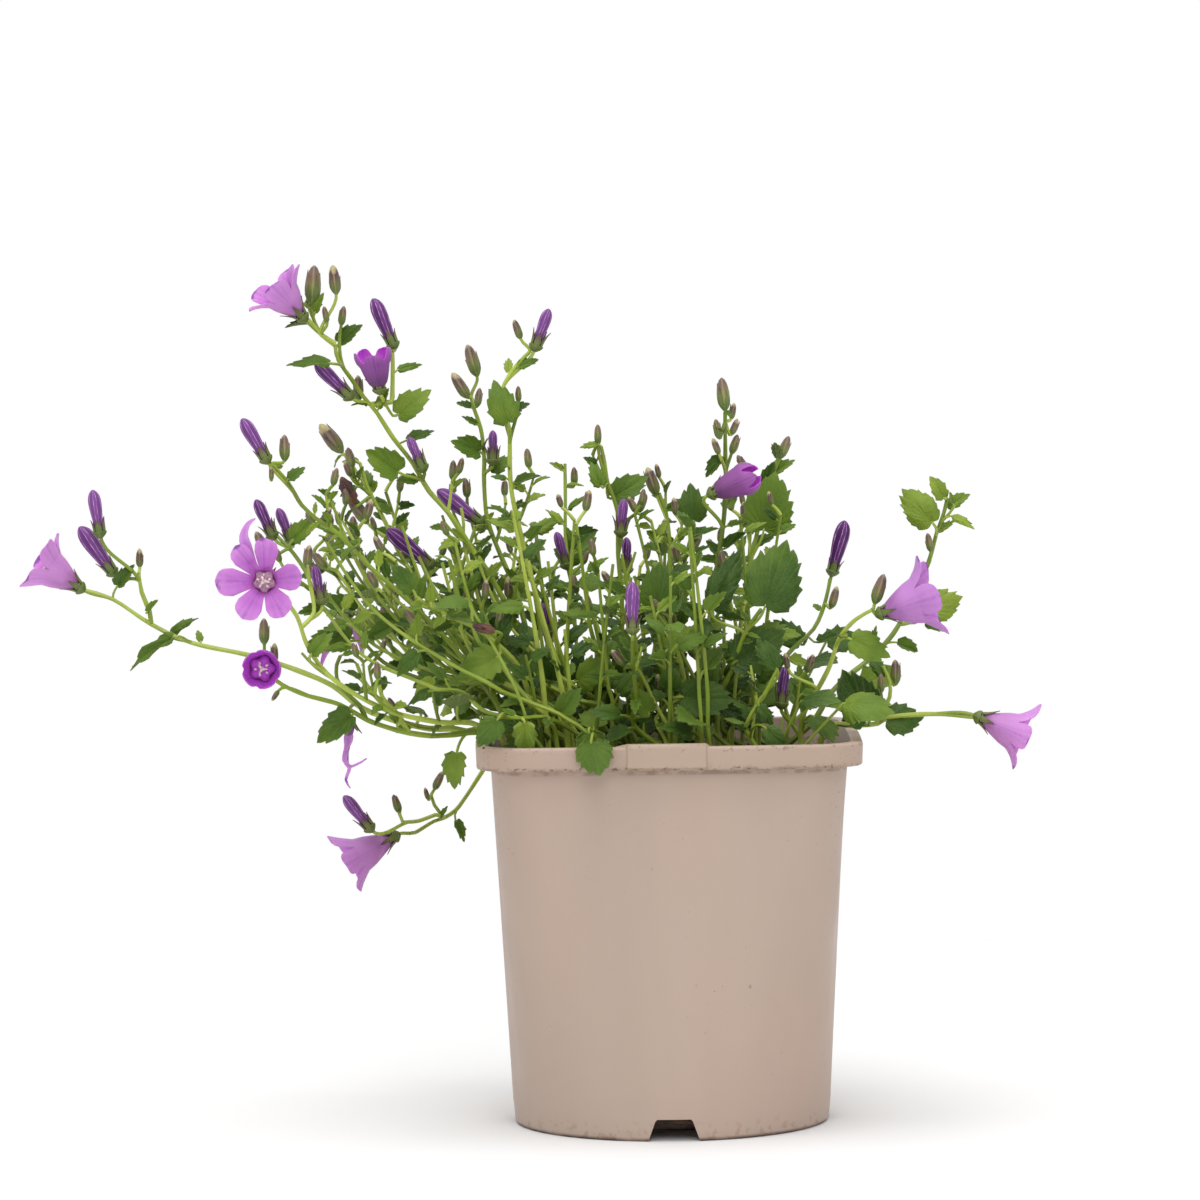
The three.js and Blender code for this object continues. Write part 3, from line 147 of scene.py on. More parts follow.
# %% [markdown]
# ## The growing rule
# A plant is easiest to build by the rule it grew by. The table below gives each leafy stem: its name, where
# it stands in the soil, its radius and how many leaves the rule adds; the points its stem passes; the side
# shoots; and the buds, flowers and larger leaves that the photograph shows, each from where it starts to
# where it ends, in millimetres. A leaf also has the angle by which its face is turned up, and some have
# their slimness. The rule then bends stems apart, moves flowers clear of each other and adds a few leaves,
# exactly as it did for the solids, so every detailed piece lands on its own solid.

# %% The table of stems
GROWTH = """
spray far_left -37 -7 1.2 1; stem -64 -7 126, -76 -6 127, -88 -5 130, -98 -3 134, -107 -2 141, -121 -1 147,
  -134 0 151, -152 2 155, -165 4 161, -177 5 169, -186 6 172; shoot -168 4 164, -168 6 171, -169 8 177;
  bloom -188 6 173, -200 6 181; violet_bud -178 11 178, -188 11 192; violet_bud -181 4 191, -183 4 204;
  bud -169 12 179, -169 12 185; leaf -176 7 173, -171 7 180, 35; leaf -166 1 165, -163 1 169, 50;
  leaf -159 6 158, -152 6 164, 50 0.45; leaf -157 0 157, -172 0 149, 55 0.38;
spray cup_flower -41 -18 1.1 1; stem -63 -18 125, -75 -23 126, -85 -26 128, -95 -31 132, -103 -34 137,
  -115 -39 141, -122 -42 145, -125 -44 148; shoot -89 -28 133, -94 -26 141, -98 -24 149; shoot -85 -27 131,
  -90 -29 139, -91 -31 149; shoot -103 -34 138, -104 -32 145, -103 -30 152; cup_bloom -126 -45 150,
  -126 -58 150; bud -126 -42 157, -126 -42 165; bud -123 -39 151, -123 -39 157; bud -122 -39 142, -124 -41 139;
  leaf -99 -34 134, -110 -36 126, 25; leaf -97 -23 141, -102 -23 143, 40; cup_bloom -101 -23 131, -100 -21 115;
spray low_left -26 26 1 0; stem -44 47 128, -49 62 127, -54 70 117, -60 70 108, -70 67 94, -77 62 91, -83 55 88,
  -85 52 88; shoot -75 63 92, -77 66 96, -78 67 99; shoot -85 52 88, -87 50 92, -88 48 95; bloom -90 52 87,
  -105 52 79; violet_bud -98 46 91, -106 46 101; bud -88 51 95, -90 51 101; bud -77 69 101, -74 69 107;
  bud -79 65 98, -80 65 102; leaf -70 65 91, -67 65 84, 60; leaf -75 62 92, -73 62 96, 60;
spray tall_left -21 -2 1.25 1; stem -36 -2 128, -41 -3 142, -48 -4 160, -55 -6 174, -62 -6 185, -69 -7 196,
  -75 -8 203, -80 -9 212, -86 -10 220, -91 -10 228, -95 -11 233, -99 -11 239, -103 -12 245, -104 -12 250;
  shoot -90 -10 226, -87 -9 231, -86 -7 240, -86 -6 247; shoot -104 -12 248, -108 -14 253, -112 -16 258;
  bloom -114 -16 259, -122 -18 268; bud -111 -12 263, -110 -12 275; bud -103 -17 266, -104 -17 275;
  bud -102 -9 256, -101 -9 262; bud -106 -17 257, -107 -17 262; leaf -103 -10 250, -96 -10 256, 35;
  leaf -105 -14 244, -118 -14 246, 60; violet_bud -100 -14 234, -110 -14 244; bud -97 -7 232, -97 -7 240;
  violet_bud -86 -3 250, -92 -3 264; cup_bloom -90 -12 236, -92 -14 248; leaf -85 -6 227, -75 -8 235, 20;
  leaf -82 -5 219, -74 -5 223, 45; leaf -84 -13 209, -94 -15 216, 15; violet_bud -77 -12 211, -81 -12 220;
spray inner_left -27 6 1 1; stem -42 6 124, -50 8 135, -63 12 152, -76 15 168, -85 18 181, -90 20 192,
  -96 22 204, -98 23 211, -103 24 214; shoot -71 14 163, -66 16 175, -63 17 184, -61 18 190; bud -104 24 215,
  -111 24 224; bud -101 21 207, -103 21 212; bud -100 18 198, -104 18 207; bud -96 22 192, -102 22 201;
  violet_bud -76 12 179, -89 10 190; violet_bud -60 23 192, -73 23 202;
spray bud_left -33 -22 1 1; stem -48 -22 126, -56 -24 139, -68 -27 155, -81 -29 169, -93 -32 180, -102 -34 190,
  -110 -35 196, -114 -36 200, -118 -37 207, -123 -38 213; violet_bud -125 -38 215, -132 -38 227;
  bud -119 -36 214, -119 -36 222; bud -123 -41 208, -123 -41 212; leaf -118 -39 208, -113 -39 212, 30;
  bud -108 -32 194, -105 -32 199;
spray mid_left -42 10 1 1; stem -55 10 124, -63 15 138, -73 19 149, -83 23 155, -92 25 156, -104 29 160,
  -112 32 165, -117 35 176, -122 38 183, -127 40 188; violet_bud -128 40 188, -133 40 199;
  violet_bud -122 43 186, -126 43 196; leaf -121 35 186, -114 33 193, 25; bud -129 36 181, -133 36 189;
  bud -125 34 179, -127 34 184;
spray front_flower -46 -27 1 1; stem -59 -27 129, -72 -32 131, -87 -38 135, -101 -44 143, -109 -48 151,
  -113 -51 159, -115 -54 166, -121 -58 175; shoot -112 -51 159, -110 -49 167, -111 -48 175, -112 -47 180;
  open_bloom -124 -59 177, -124 -72 178; violet_bud -108 -46 171, -110 -46 181; bud -112 -49 181, -111 -49 188;
  leaf -111 -53 154, -105 -53 161, 30;
spray low_leafy -34 22 1 2; stem -54 22 127, -67 27 132, -80 34 143, -92 40 153, -100 45 164, -105 49 172,
  -110 51 176, -115 54 181; leaf -101 41 162, -111 39 167, 20; bud -92 34 161, -101 34 162; bud -102 54 185,
  -102 54 193; bud -110 51 188, -109 51 194; leaf -102 35 153, -116 33 153, 25;
spray thick_left -17 -22 1.3 1; stem -40 -22 130, -44 -27 140, -47 -30 148, -53 -34 155, -62 -38 162,
  -71 -42 166, -78 -46 171; shoot -62 -38 162, -66 -36 173, -68 -34 182; leaf -69 -47 165, -60 -47 163, 60;
  leaf -53 -39 152, -65 -41 146, 5; leaf -79 -46 173, -85 -48 181, 20;
spray upper_a -13 10 1.1 2; stem -34 10 126, -38 12 138, -44 15 154, -48 18 169, -53 21 181, -57 23 192,
  -58 25 203, -58 27 214, -59 28 222, -61 29 228, -62 30 232; bud -60 32 239, -63 32 249; bud -63 28 232,
  -68 28 240; bud -60 26 229, -59 26 235; leaf -59 29 214, -68 27 218, 20; violet_bud -55 22 212, -55 22 221;
spray upper_b -6 -6 1.1 1; stem -30 -6 127, -33 -8 142, -39 -10 160, -44 -12 181, -48 -14 199, -49 -15 209,
  -49 -17 222, -51 -18 230, -51 -18 235, -49 -19 239, -46 -19 243, -42 -20 247; violet_bud -40 -20 249,
  -36 -20 260; bud -45 -18 251, -47 -18 257; leaf -46 -21 242, -40 -21 245, 35; leaf -49 -20 224, -53 -22 237,
  15; bud -46 -15 231, -46 -15 236; leaf -49 -15 228, -43 -15 231, 30;
spray thin_centre 1 26 0.8 1; stem -25 26 123, -27 31 136, -29 38 152, -30 44 168, -32 50 184, -32 55 197,
  -32 60 209; bud -29 60 202, -29 60 208; violet_bud -32 43 177, -35 43 187;
spray centre_bud 12 4 1 1; stem -10 4 125, -12 5 135, -14 5 147, -14 7 167, -15 8 181, -15 9 195, -18 9 204,
  -19 10 211, -20 10 216; bud -21 10 217, -21 10 223; leaf -20 6 203, -23 6 211, 30; leaf -17 12 199, -6 10 206,
  20; violet_bud -14 3 189, -13 3 199;
spray centre_right_bud 22 18 1 1; stem 0 18 124, 2 24 139, 3 31 159, 2 37 176, 2 41 185, 1 44 193, -1 46 199;
  shoot 3 33 165, 7 36 178, 10 37 189; bud -2 46 199, -5 46 208; leaf 10 34 190, 9 32 202, 5; leaf 2 45 181,
  -5 43 187, 25;
spray spike 28 -4 1.15 2; stem 7 -4 124, 10 -8 138, 13 -12 155, 15 -16 171, 18 -21 190, 19 -24 203, 19 -26 212,
  19 -28 220, 19 -30 227; bud 19 -30 228, 18 -30 238; bud 21 -28 225, 22 -28 230; bud 17 -30 219, 16 -30 225;
  bud 21 -26 220, 23 -26 225; bud 17 -29 214, 15 -29 219; bud 21 -25 214, 23 -25 220; leaf 18 -29 213,
  13 -29 207, 40; cup_bloom 15 -33 202, 29 -35 208;
spray right_bud 36 10 1.05 1; stem 18 10 124, 22 14 142, 25 18 161, 28 21 178, 32 25 194, 34 27 205, 37 28 210;
  bud 38 28 211, 41 28 218; leaf 35 29 206, 42 29 211, 40; leaf 32 19 187, 36 17 206, 5; bud 27 27 189,
  26 27 197;
spray round_leaves 28 -18 1 1; stem 12 -18 128, 15 -24 136, 20 -32 146, 24 -41 158, 29 -48 166;
  shoot 14 -21 131, 7 -19 146, 1 -18 158, -3 -17 165; leaf 30 -48 166, 37 -50 186, 0; leaf 21 -39 149,
  36 -41 158, 0; leaf -3 -19 165, -2 -21 179, 0; leaf 14 -37 165, 21 -37 185, 55; leaf 12 -26 135, 15 -28 140,
  15;
spray right_violet 43 26 1 1; stem 25 26 123, 32 34 135, 41 41 147, 49 47 154, 53 52 162, 55 56 170;
  violet_bud 56 57 173, 60 55 189; bud 55 49 161, 57 49 168; leaf 50 43 150, 57 43 153, 45; leaf 45 47 149,
  37 45 157, 15;
spray right_flower 42 -20 1.05 1; stem 42 -20 124, 43 -23 132, 47 -26 139, 51 -30 147, 54 -34 156, 59 -38 162,
  64 -40 165; shoot 42 -21 128, 38 -19 131, 37 -17 134; bloom 67 -40 164, 79 -40 168; bud 65 -37 167,
  68 -37 176; violet_bud 36 -21 135, 37 -21 146; bud 38 -24 146, 37 -24 151; leaf 57 -39 156, 69 -41 151, 15;
  leaf 44 -20 134, 42 -20 146, 35;
spray upright_shoot 36 38 1.05 1; stem 48 38 124, 53 40 132, 59 42 138, 67 45 144, 75 47 152, 81 50 162,
  85 52 170, 88 54 177, 90 55 184, 93 57 192, 94 58 196; shoot 75 47 152, 80 49 156, 84 51 159; leaf 93 56 196,
  89 54 203, 20; leaf 94 60 193, 101 60 198, 35; leaf 89 53 188, 80 51 199, 10; leaf 91 59 185, 96 59 189, 45;
  bud 88 51 179, 87 51 185; leaf 84 46 159, 97 44 164, 5;
spray far_right 51 -5 1.1 0; stem 49 -5 122, 57 -7 123, 62 -8 125, 67 -9 127, 70 -10 129, 80 -12 130,
  88 -14 130, 98 -16 129; shoot 70 -10 129, 71 -8 135, 71 -7 140, 69 -6 145; bloom 99 -16 129, 113 -16 123;
  leaf 64 -14 128, 56 -16 144, 10; leaf 69 -13 128, 81 -13 130, 30 1.1; bud 68 -11 137, 68 -11 143;
  bud 73 -4 139, 73 -4 147; leaf 70 -6 142, 65 -6 148, 30;
spray front_rim -8 -34 0.95 1; stem -32 -34 129, -35 -37 131, -40 -42 133, -46 -47 133, -53 -52 134;
  shoot -32 -34 129, -28 -32 128, -24 -30 127; leaf -53 -52 134, -59 -54 126, 5; leaf -45 -51 132, -45 -53 121,
  25; leaf -25 -40 128, -23 -42 116, 5; leaf -34 -34 133, -28 -36 141, 20;
spray front_mid 10 -30 0.95 1; stem -10 -30 128, -10 -36 137, -11 -44 149, -11 -52 160; shoot -9 -30 126,
  -4 -28 131, 4 -26 137; violet_bud -11 -52 161, -11 -52 175; leaf 4 -30 138, 20 -32 137, 10; leaf -6 -34 133,
  -11 -36 141, 20;
spray back_violet 14 38 0.9 1; stem -5 38 124, -6 46 138, -7 55 154, -10 62 167, -12 66 173; shoot -6 50 144,
  -1 51 161, 2 53 177, 8 54 187; violet_bud -12 66 174, -12 66 184; leaf -3 55 161, 8 53 167, 15;
spray front_right 33 -38 0.95 1; stem 24 -38 128, 26 -40 133, 30 -41 139, 34 -44 147; shoot 24 -38 128,
  27 -36 129, 31 -34 128; leaf 28 -44 136, 33 -44 130, 30; leaf 30 -48 129, 36 -50 123, 15; leaf 34 -44 147,
  29 -46 156, 20;
spray leafy_centre -20 34 1 1; stem -35 34 126, -37 38 136, -38 43 149, -39 48 161, -41 54 178, -42 58 188;
  shoot -39 49 165, -37 51 171, -34 53 178; leaf -42 55 187, -35 55 192, 30; leaf -44 46 173, -45 44 183, 15;
  violet_bud -38 37 155, -40 37 164; leaf -34 56 177, -23 54 187, 20
"""

SPRAYS = []
for entry in GROWTH.split(";"):
    kind, rest = entry.split(None, 1)
    if kind == "spray":
        name, *values = rest.split()
        x, y, radius, leaves = map(float, values)
        SPRAYS.append(dict(name=name, root=(x, y), radius=radius, leaves=int(leaves), shoots=[], organs=[]))
        continue
    points = [tuple(map(float, point.split())) for point in rest.split(",")]
    if kind == "stem":
        SPRAYS[-1]["stem"] = points
    elif kind == "shoot":
        SPRAYS[-1]["shoots"].append(points)
    else:
        SPRAYS[-1]["organs"].append((kind, *points))
print("stems in the table:", len(SPRAYS))

# %% [markdown]
# The rule needs a little vector arithmetic. Plain tuples of three numbers are enough, and they keep the full
# precision of Python's numbers, so the rule takes the same turns here as it did for the solids. The draws
# between 0 and 1 come from a seeded rule too, so every run gives the same plant.

# %% Vectors and draws
UP = (0.0, 0.0, 1.0)
FRONT = (0.0, -1.0, 0.0)
GOLDEN = 2.39996
SEED = 4021


def blend(*parts):
    # Adds vectors, each with a weight.
    return tuple(sum(v[i] * w for v, w in parts) for i in range(3))


def plus(a, b):
    return (a[0] + b[0], a[1] + b[1], a[2] + b[2])


def minus(a, b):
    return (a[0] - b[0], a[1] - b[1], a[2] - b[2])


def times(a, s):
    return (a[0] * s, a[1] * s, a[2] * s)


def dot(a, b):
    return a[0] * b[0] + a[1] * b[1] + a[2] * b[2]


def cross(a, b):
    return (a[1] * b[2] - a[2] * b[1], a[2] * b[0] - a[0] * b[2], a[0] * b[1] - a[1] * b[0])


def size(a):
    return math.sqrt(dot(a, a))


def unit(a):
    return times(a, 1 / (size(a) or 1))


def gap(a, b):
    return size(minus(a, b))


def mix(a, b, t):
    return a + (b - a) * t


def drawer(seed):
    state = [seed]

    def draw():
        state[0] = (state[0] * 48271) % 2147483647
        return state[0] / 2147483647

    return draw


def square_to(axis, hint=FRONT):
    side = blend((hint, 1), (axis, -dot(hint, axis)))
    if dot(side, side) < 1e-4:
        side = blend(((1.0, 0.0, 0.0), 1), (axis, -axis[0]))
    side = unit(side)
    return side, cross(axis, side)


def spoke(side, across, a):
    # The direction at the angle a round an axis, and the one that follows the round.
    c, s = math.cos(a), math.sin(a)
    return blend((side, c), (across, s)), blend((side, -s), (across, c))


print("first draw:", round(drawer(SEED)(), 4))

# %% [markdown]
# A stem runs through its points on a smooth curve, a Catmull-Rom spline: each stretch between two points
# looks at one point before and one after, so it arrives and leaves in a natural direction.


# %% Curves
def smooth(points, step):
    out = []
    for i in range(len(points) - 1):
        b, c = points[i], points[i + 1]
        a, d = points[max(i - 1, 0)], points[min(i + 2, len(points) - 1)]
        n = max(1, math.floor(gap(b, c) / step + 0.5))
        for k in range(n):
            t = k / n
            out.append(blend((a, 0.5 * (-t + 2 * t * t - t ** 3)), (b, 0.5 * (2 - 5 * t * t + 3 * t ** 3)),
                             (c, 0.5 * (t + 4 * t * t - 3 * t ** 3)), (d, 0.5 * (-t * t + t ** 3))))
    return out + [points[-1]]


print("a curve of 20 mm in steps of 4 mm has", len(smooth([(0, 0, 0), (0, 0, 20)], 4)), "points")

# %% [markdown]
# To keep stems, flowers and leaves out of each other, each of them is filled with small balls, and the balls
# are kept in cells of 10 mm, so that only near ones are compared. The pot's rim and the soil count as taken
# too.

# %% The space that is taken
POT_HEIGHT, RIM_HALF, RIM_LIP = 124.5, 60.2, 4.2
SOIL_TOP, SOIL_LUMP = 110.0, 1.6
INSIDE_RIM, OUTSIDE_RIM, OVER_RIM, OVER_SOIL = 2.5, 1.4, 1, 0.4
CLEAR, CELL, BALL_STEP = 0.7, 10, 1.5
cells = {}


def cell_of(p):
    return tuple(math.floor(c / CELL) for c in p)


def take(node, kind, balls):
    for at, radius in balls:
        cells.setdefault(cell_of(at), []).append((at, radius, node, kind))


def near(point):
    i, j, k = cell_of(point)
    return [ball for a in (i - 1, i, i + 1) for b in (j - 1, j, j + 1) for c in (k - 1, k, k + 1)
            for ball in cells.get((a, b, c), ())]


def hits_pot(at, radius):
    out = max(abs(at[0]), abs(at[1]))
    beside = RIM_HALF - RIM_LIP - INSIDE_RIM - radius < out < RIM_HALF + OUTSIDE_RIM + radius
    if beside and at[2] < POT_HEIGHT + OVER_RIM + radius:
        return True
    return out < RIM_HALF and at[2] < SOIL_TOP + SOIL_LUMP + OVER_SOIL + radius


def is_clear(node, balls, clear=CLEAR):
    for at, radius in balls:
        if hits_pot(at, radius):
            return False
        for other, wide, owner, kind in near(at):
            if owner == node and kind != "blade":
                continue
            if gap(at, other) < radius + wide + clear:
                return False
    return True


def balls_along(route, radius):
    balls = []
    for a, b in zip(route, route[1:]):
        n = max(1, math.ceil(gap(a, b) / BALL_STEP))
        balls += [(plus(a, times(minus(b, a), k / n)), radius) for k in range(n)]
    return balls + [(route[-1], radius)]


print("balls in a stem of 10 mm:", len(balls_along([(0, 0, 150), (0, 0, 160)], 1)))

# %% [markdown]
# A stem that runs into what is there already is bent clear of it: in a few rounds, each of its points is
# pushed away from every ball that is too near and takes its neighbours half the way along. Over the rim it
# is lifted too.

# %% Bend a stem clear
ROUNDS, SPARE, PUSH, NEIGHBOUR = 8, 0.5, 0.7, 0.5
LIFT_INSIDE, LIFT_OUTSIDE = 9, 3


def bend_clear(route, radius, fixed):
    route = list(route)
    for _ in range(ROUNDS):
        for i in range(fixed, len(route)):
            for other, wide, _, _ in near(route[i]):
                away = minus(route[i], other)
                short = radius + wide + CLEAR + SPARE - size(away)
                if short <= 0:
                    continue
                away = times(unit(away), short * PUSH)
                route[i] = plus(route[i], away)
                if i > fixed:
                    route[i - 1] = blend((route[i - 1], 1), (away, NEIGHBOUR))
                if i + 1 < len(route):
                    route[i + 1] = blend((route[i + 1], 1), (away, NEIGHBOUR))
            x, y, z = route[i]
            if RIM_HALF - LIFT_INSIDE < max(abs(x), abs(y)) < RIM_HALF + LIFT_OUTSIDE:
                route[i] = (x, y, max(z, POT_HEIGHT + OVER_RIM + radius))
    return route


print("over the rim a thin stem runs at", bend_clear([(0, -60, 120)] * 2, 1, 1)[1][2], "mm")

# %% [markdown]
# Every leaf, bud and flower hangs on a stalk that leaves its stem in the stem's own direction and meets the
# leaf or flower along its axis: a curve of four control points does both. The coarse points keep the rule in
# step with the solids, and the fine ones give a stalk without corners.

# %% Stalks
BEND_STEP, STEM_SKIP, FINE_STEP = 4, 4, 1.6
KNOTS_INSIDE, KNOTS_OUTSIDE, KNOTS_OVER = 16, 8, 10
START_BELOW, NEAREST, FAR, AWAY = 0.4, 2, 10, 0.2
LEAVE, DRAWN, MEET = 0.2, 0.12, 0.35


def is_knot(route, i):
    x, y, z = route[i]
    out = max(abs(x), abs(y))
    over_rim = RIM_HALF - KNOTS_INSIDE < out < RIM_HALF + KNOTS_OUTSIDE and z < POT_HEIGHT + KNOTS_OVER
    return i < 2 or i % STEM_SKIP == 0 or i == len(route) - 1 or over_rim


def knot_near(route, index):
    off = 0
    while True:
        for i in (index - off, index + off):
            if 0 < i < len(route) and is_knot(route, i):
                return i
        off += 1


def stalk(routes, base, axis):
    # The stalk starts below the nearest point of the nearest route, and no nearer than 2 mm.
    route, index, d = min(((route, i, gap(route[i], base)) for route in routes for i in range(1, len(route))),
                          key=lambda found: found[2])
    i = knot_near(route, index - math.floor((START_BELOW * d) / BEND_STEP + 0.5))
    while i > 1 and (not is_knot(route, i) or gap(route[i], base) < NEAREST):
        i -= 1
    start = route[i]
    way = unit(minus(start, route[i - 1]))
    far = gap(start, base)
    a = blend((start, 1), (way, LEAVE * far), (base, DRAWN), (start, -DRAWN))
    b = blend((base, 1), (axis, -MEET * far))
    steps = 2 if far > FAR or dot(unit(minus(base, start)), axis) < AWAY else 1

    def along(count):
        out = []
        for k in range(count + 1):
            t = k / count
            s = 1 - t
            out.append(blend((start, s ** 3), (a, 3 * s * s * t), (b, 3 * s * t * t), (base, t ** 3)))
        return out

    return along(steps), along(max(4, min(12, round(far / FINE_STEP))))


upright = [(0.0, 0.0, 4.0 * k) for k in range(9)]
print("points of a stalk, coarse and fine:", [len(way) for way in stalk([upright], (12.0, 0.0, 30.0), UP)])

# %% [markdown]
# A leaf is described by its junction with the stalk, its length, and three directions: along it, across it
# and out of its upper face. The balls that keep it clear lie on the same curved blade that we build later.
# Of each kind of flower, the table says how open it is, how long its sepals are and how far they lean.

# %% Leaves and flowers as the rule sees them
BACK_LOBE, BLADE_MIDDLE, BLADE_CUP = 2.62, 0.4, 0.16
# How far out each ring of a blade's balls lies, and how many balls it has.
BLADE_RINGS = ((0.02, 1), (0.25, 5), (0.48, 11))
SHIFTS = [0, 2.5, -2.5, 5, -5, 7.5, -7.5, 10, -10, 13, -13, 16, -16]
FLOWERS = {
    "violet_bud": (None, 4.2, 0.42),
    "bloom": (0.72, 5.2, 0.62),
    "open_bloom": (1.0, 5.2, 0.7),
    "cup_bloom": (0.12, 5.0, 0.5),
}


def leaf_frame(base, tip, hint, droop):
    along = minus(tip, base)
    length = size(along)
    along = unit(along)
    face, across = square_to(along, hint)
    return dict(base=base, length=length, along=along, across=times(across, -1), face=face, droop=droop)


def blade_balls(leaf):
    balls = []
    for reach, count in BLADE_RINGS:
        for k in range(count):
            angle = 0 if count == 1 else mix(-BACK_LOBE, BACK_LOBE, k / (count - 1))
            x = leaf["length"] * (BLADE_MIDDLE + reach * math.cos(angle))
            y = leaf["length"] * reach * math.sin(angle)
            lift = BLADE_CUP * abs(y) - leaf["droop"] * x * x / leaf["length"]
            at = blend((leaf["base"], 1), (leaf["along"], x), (leaf["across"], y), (leaf["face"], lift))
            balls.append((at, 0.6 + 0.05 * leaf["length"]))
    return balls


def bell_reach(openness):
    return mix(1.45, 1.0, openness)


def corolla_balls(base, axis, length, openness):
    side, across = square_to(axis)
    wide = 0.17 * length if openness is None else 5.6
    balls = [(blend((base, 1), (axis, share * length)), mix(1.8, wide, min(1, share / 0.7)))
             for share in (0.15, 0.35, 0.55, 0.75, 0.95)]
    if openness is None:
        return balls
    for k in range(5):
        for low, high, height in ((5.4, 9.2, 1.1), (4.6, 12.6, bell_reach(openness))):
            a = 2 * math.pi * k / 5
            r = mix(low, high, openness)
            at = blend((base, 1), (axis, height * length), (side, r * math.cos(a)), (across, r * math.sin(a)))
            balls.append((at, 2.2))
    return balls


def settle(node, balls_at):
    for shift in SHIFTS:
        if is_clear(node, balls_at((0, shift, 0))):
            return (0.0, float(shift), 0.0)
    return (0.0, 0.0, 0.0)


print("balls in a leaf:", len(blade_balls(leaf_frame((0, 0, 0), (12, 0, 0), UP, 0.1))),
      "and in a bell:", len(corolla_balls((0, 0, 0), UP, 12, 0.7)))

# %% [markdown]
# Now the plant grows: all stems first, then the side shoots, so that every one stands where the table says
# or close to it. Each stem starts in a hole in the soil.

# %% Grow stems and shoots
HOLE_DEPTH, OVER_HOLE, SHOOT_SHARE = 12.0, 4, 0.75

plants = []
for index, spray in enumerate(SPRAYS):
    x, y = spray["root"]
    top, foot = (x, y, SOIL_TOP + OVER_HOLE), (x, y, SOIL_TOP - HOLE_DEPTH + 1)
    node = "spray_" + spray["name"]
    main = [foot] + bend_clear(smooth([top] + spray["stem"], BEND_STEP), spray["radius"], 1)
    take(node, "stem", balls_along(main, spray["radius"]))
    plants.append(dict(spray=spray, node=node, index=index, routes=[main], leaves=[], buds=[], cups=[],
                       corollas=[], twigs=[]))

for plant in plants:
    routes, radius = plant["routes"], plant["spray"]["radius"]
    for points in plant["spray"]["shoots"]:
        first, *rest = points
        start = stalk(routes, first, unit(minus(rest[0], first)))[0][0]
        shoot = bend_clear(smooth([start] + rest, BEND_STEP), radius * SHOOT_SHARE, 1)
        take(plant["node"], "stem", balls_along(shoot, radius * SHOOT_SHARE))
        routes.append(shoot)
print("stems and shoots:", sum(len(p["routes"]) for p in plants))

# %% [markdown]
# Flowers and buds come next. One that has no room moves forwards or backwards, which leaves the view from
# the front as it is. A green bud belongs to its stem, but an open flower or a violet bud is a piece of its
# own that is seated on a green cup.

# %% Grow flowers and buds
PETIOLE, PEDICEL, SEAT, CUP_DEPTH = 0.55, 0.6, 0.3, 1.6

for plant in plants:
    node, routes, count = plant["node"], plant["routes"], 0
    for kind, base, end in [o for o in plant["spray"]["organs"] if o[0] != "leaf"]:
        axis = minus(end, base)
        if kind == "bud":
            axis = unit(axis)
            move = settle(node, lambda m: balls_along([plus(base, m), plus(end, m)], 1.6))
            foot, tip = plus(base, move), plus(end, move)
            way, fine = stalk(routes, foot, axis)
            take(node, "stem", balls_along(way, PEDICEL) + balls_along([foot, tip], 1.7))
            plant["buds"].append((fine, foot, tip))
            continue
        openness, sepal, lean = FLOWERS[kind]
        length = size(axis) / (1 if openness is None else bell_reach(openness))
        axis = unit(axis)
        count += 1
        name = f"{kind}_{plant['spray']['name']}_{count}"
        move = settle(name, lambda m: corolla_balls(blend((base, 1), (m, 1), (axis, SEAT)), axis, length,
                                                    openness)[1:])
        foot = plus(base, move)
        seat = blend((foot, 1), (axis, SEAT))
        way, fine = stalk(routes, blend((foot, 1), (axis, -CUP_DEPTH)), axis)
        take(name, "corolla", corolla_balls(seat, axis, length, openness))
        take(node, "stem", balls_along(way, PEDICEL) + [(foot, 2.6)])
        plant["cups"].append((fine, foot, axis, sepal, lean, openness is None))
        plant["corollas"].append((name, seat, axis, length, openness))
print("green buds:", sum(len(p["buds"]) for p in plants), "flowers:", sum(len(p["corollas"]) for p in plants))

# %% [markdown]
# The larger leaves stand where the table says, because they are seen in the photograph. A leaf that is turned
# away from us is folded too, so it is narrower.


# %% Grow the larger leaves
def add_leaf(plant, leaf, must):
    way, fine = stalk(plant["routes"], leaf["base"], leaf["along"])
    balls = blade_balls(leaf)
    if not must and not is_clear(plant["node"], balls + balls_along(way[1:], PETIOLE)):
        return False
    take(plant["node"], "blade", balls)
    take(plant["node"], "stem", balls_along(way, PETIOLE))
    plant["leaves"].append((leaf, fine))
    return True


def moved_leaf(start, end, move, hint):
    return leaf_frame(plus(start, move), plus(end, move), hint, 0.12)


for plant in plants:
    for _, start, end, turned in [o for o in plant["spray"]["organs"] if o[0] == "leaf"]:
        hint = spoke(FRONT, UP, math.radians(turned[0]))[0]
        move = settle(plant["node"], lambda m: blade_balls(moved_leaf(start, end, m, hint)))
        leaf = moved_leaf(start, end, move, hint)
        leaf["slim"] = turned[1] if len(turned) > 1 else mix(0.98, 0.56, min(1, turned[0] / 48))
        add_leaf(plant, leaf, True)
print("leaves from the table:", sum(len(p["leaves"]) for p in plants))

# %% [markdown]
# The solids have one or two more leaves on each stem, which the rule places itself: in a spiral round the
# stem, smaller and on shorter stalks towards its top. Each leaf tries eight places and is left out if it has
# no room in any.

# %% Grow the leaves that the rule adds
TRIES = 8
LENGTHS, STALKS, SHORTER_STALK, SHORTER_LEAF = (15, 7), (13, 2.5), 0.06, 0.04

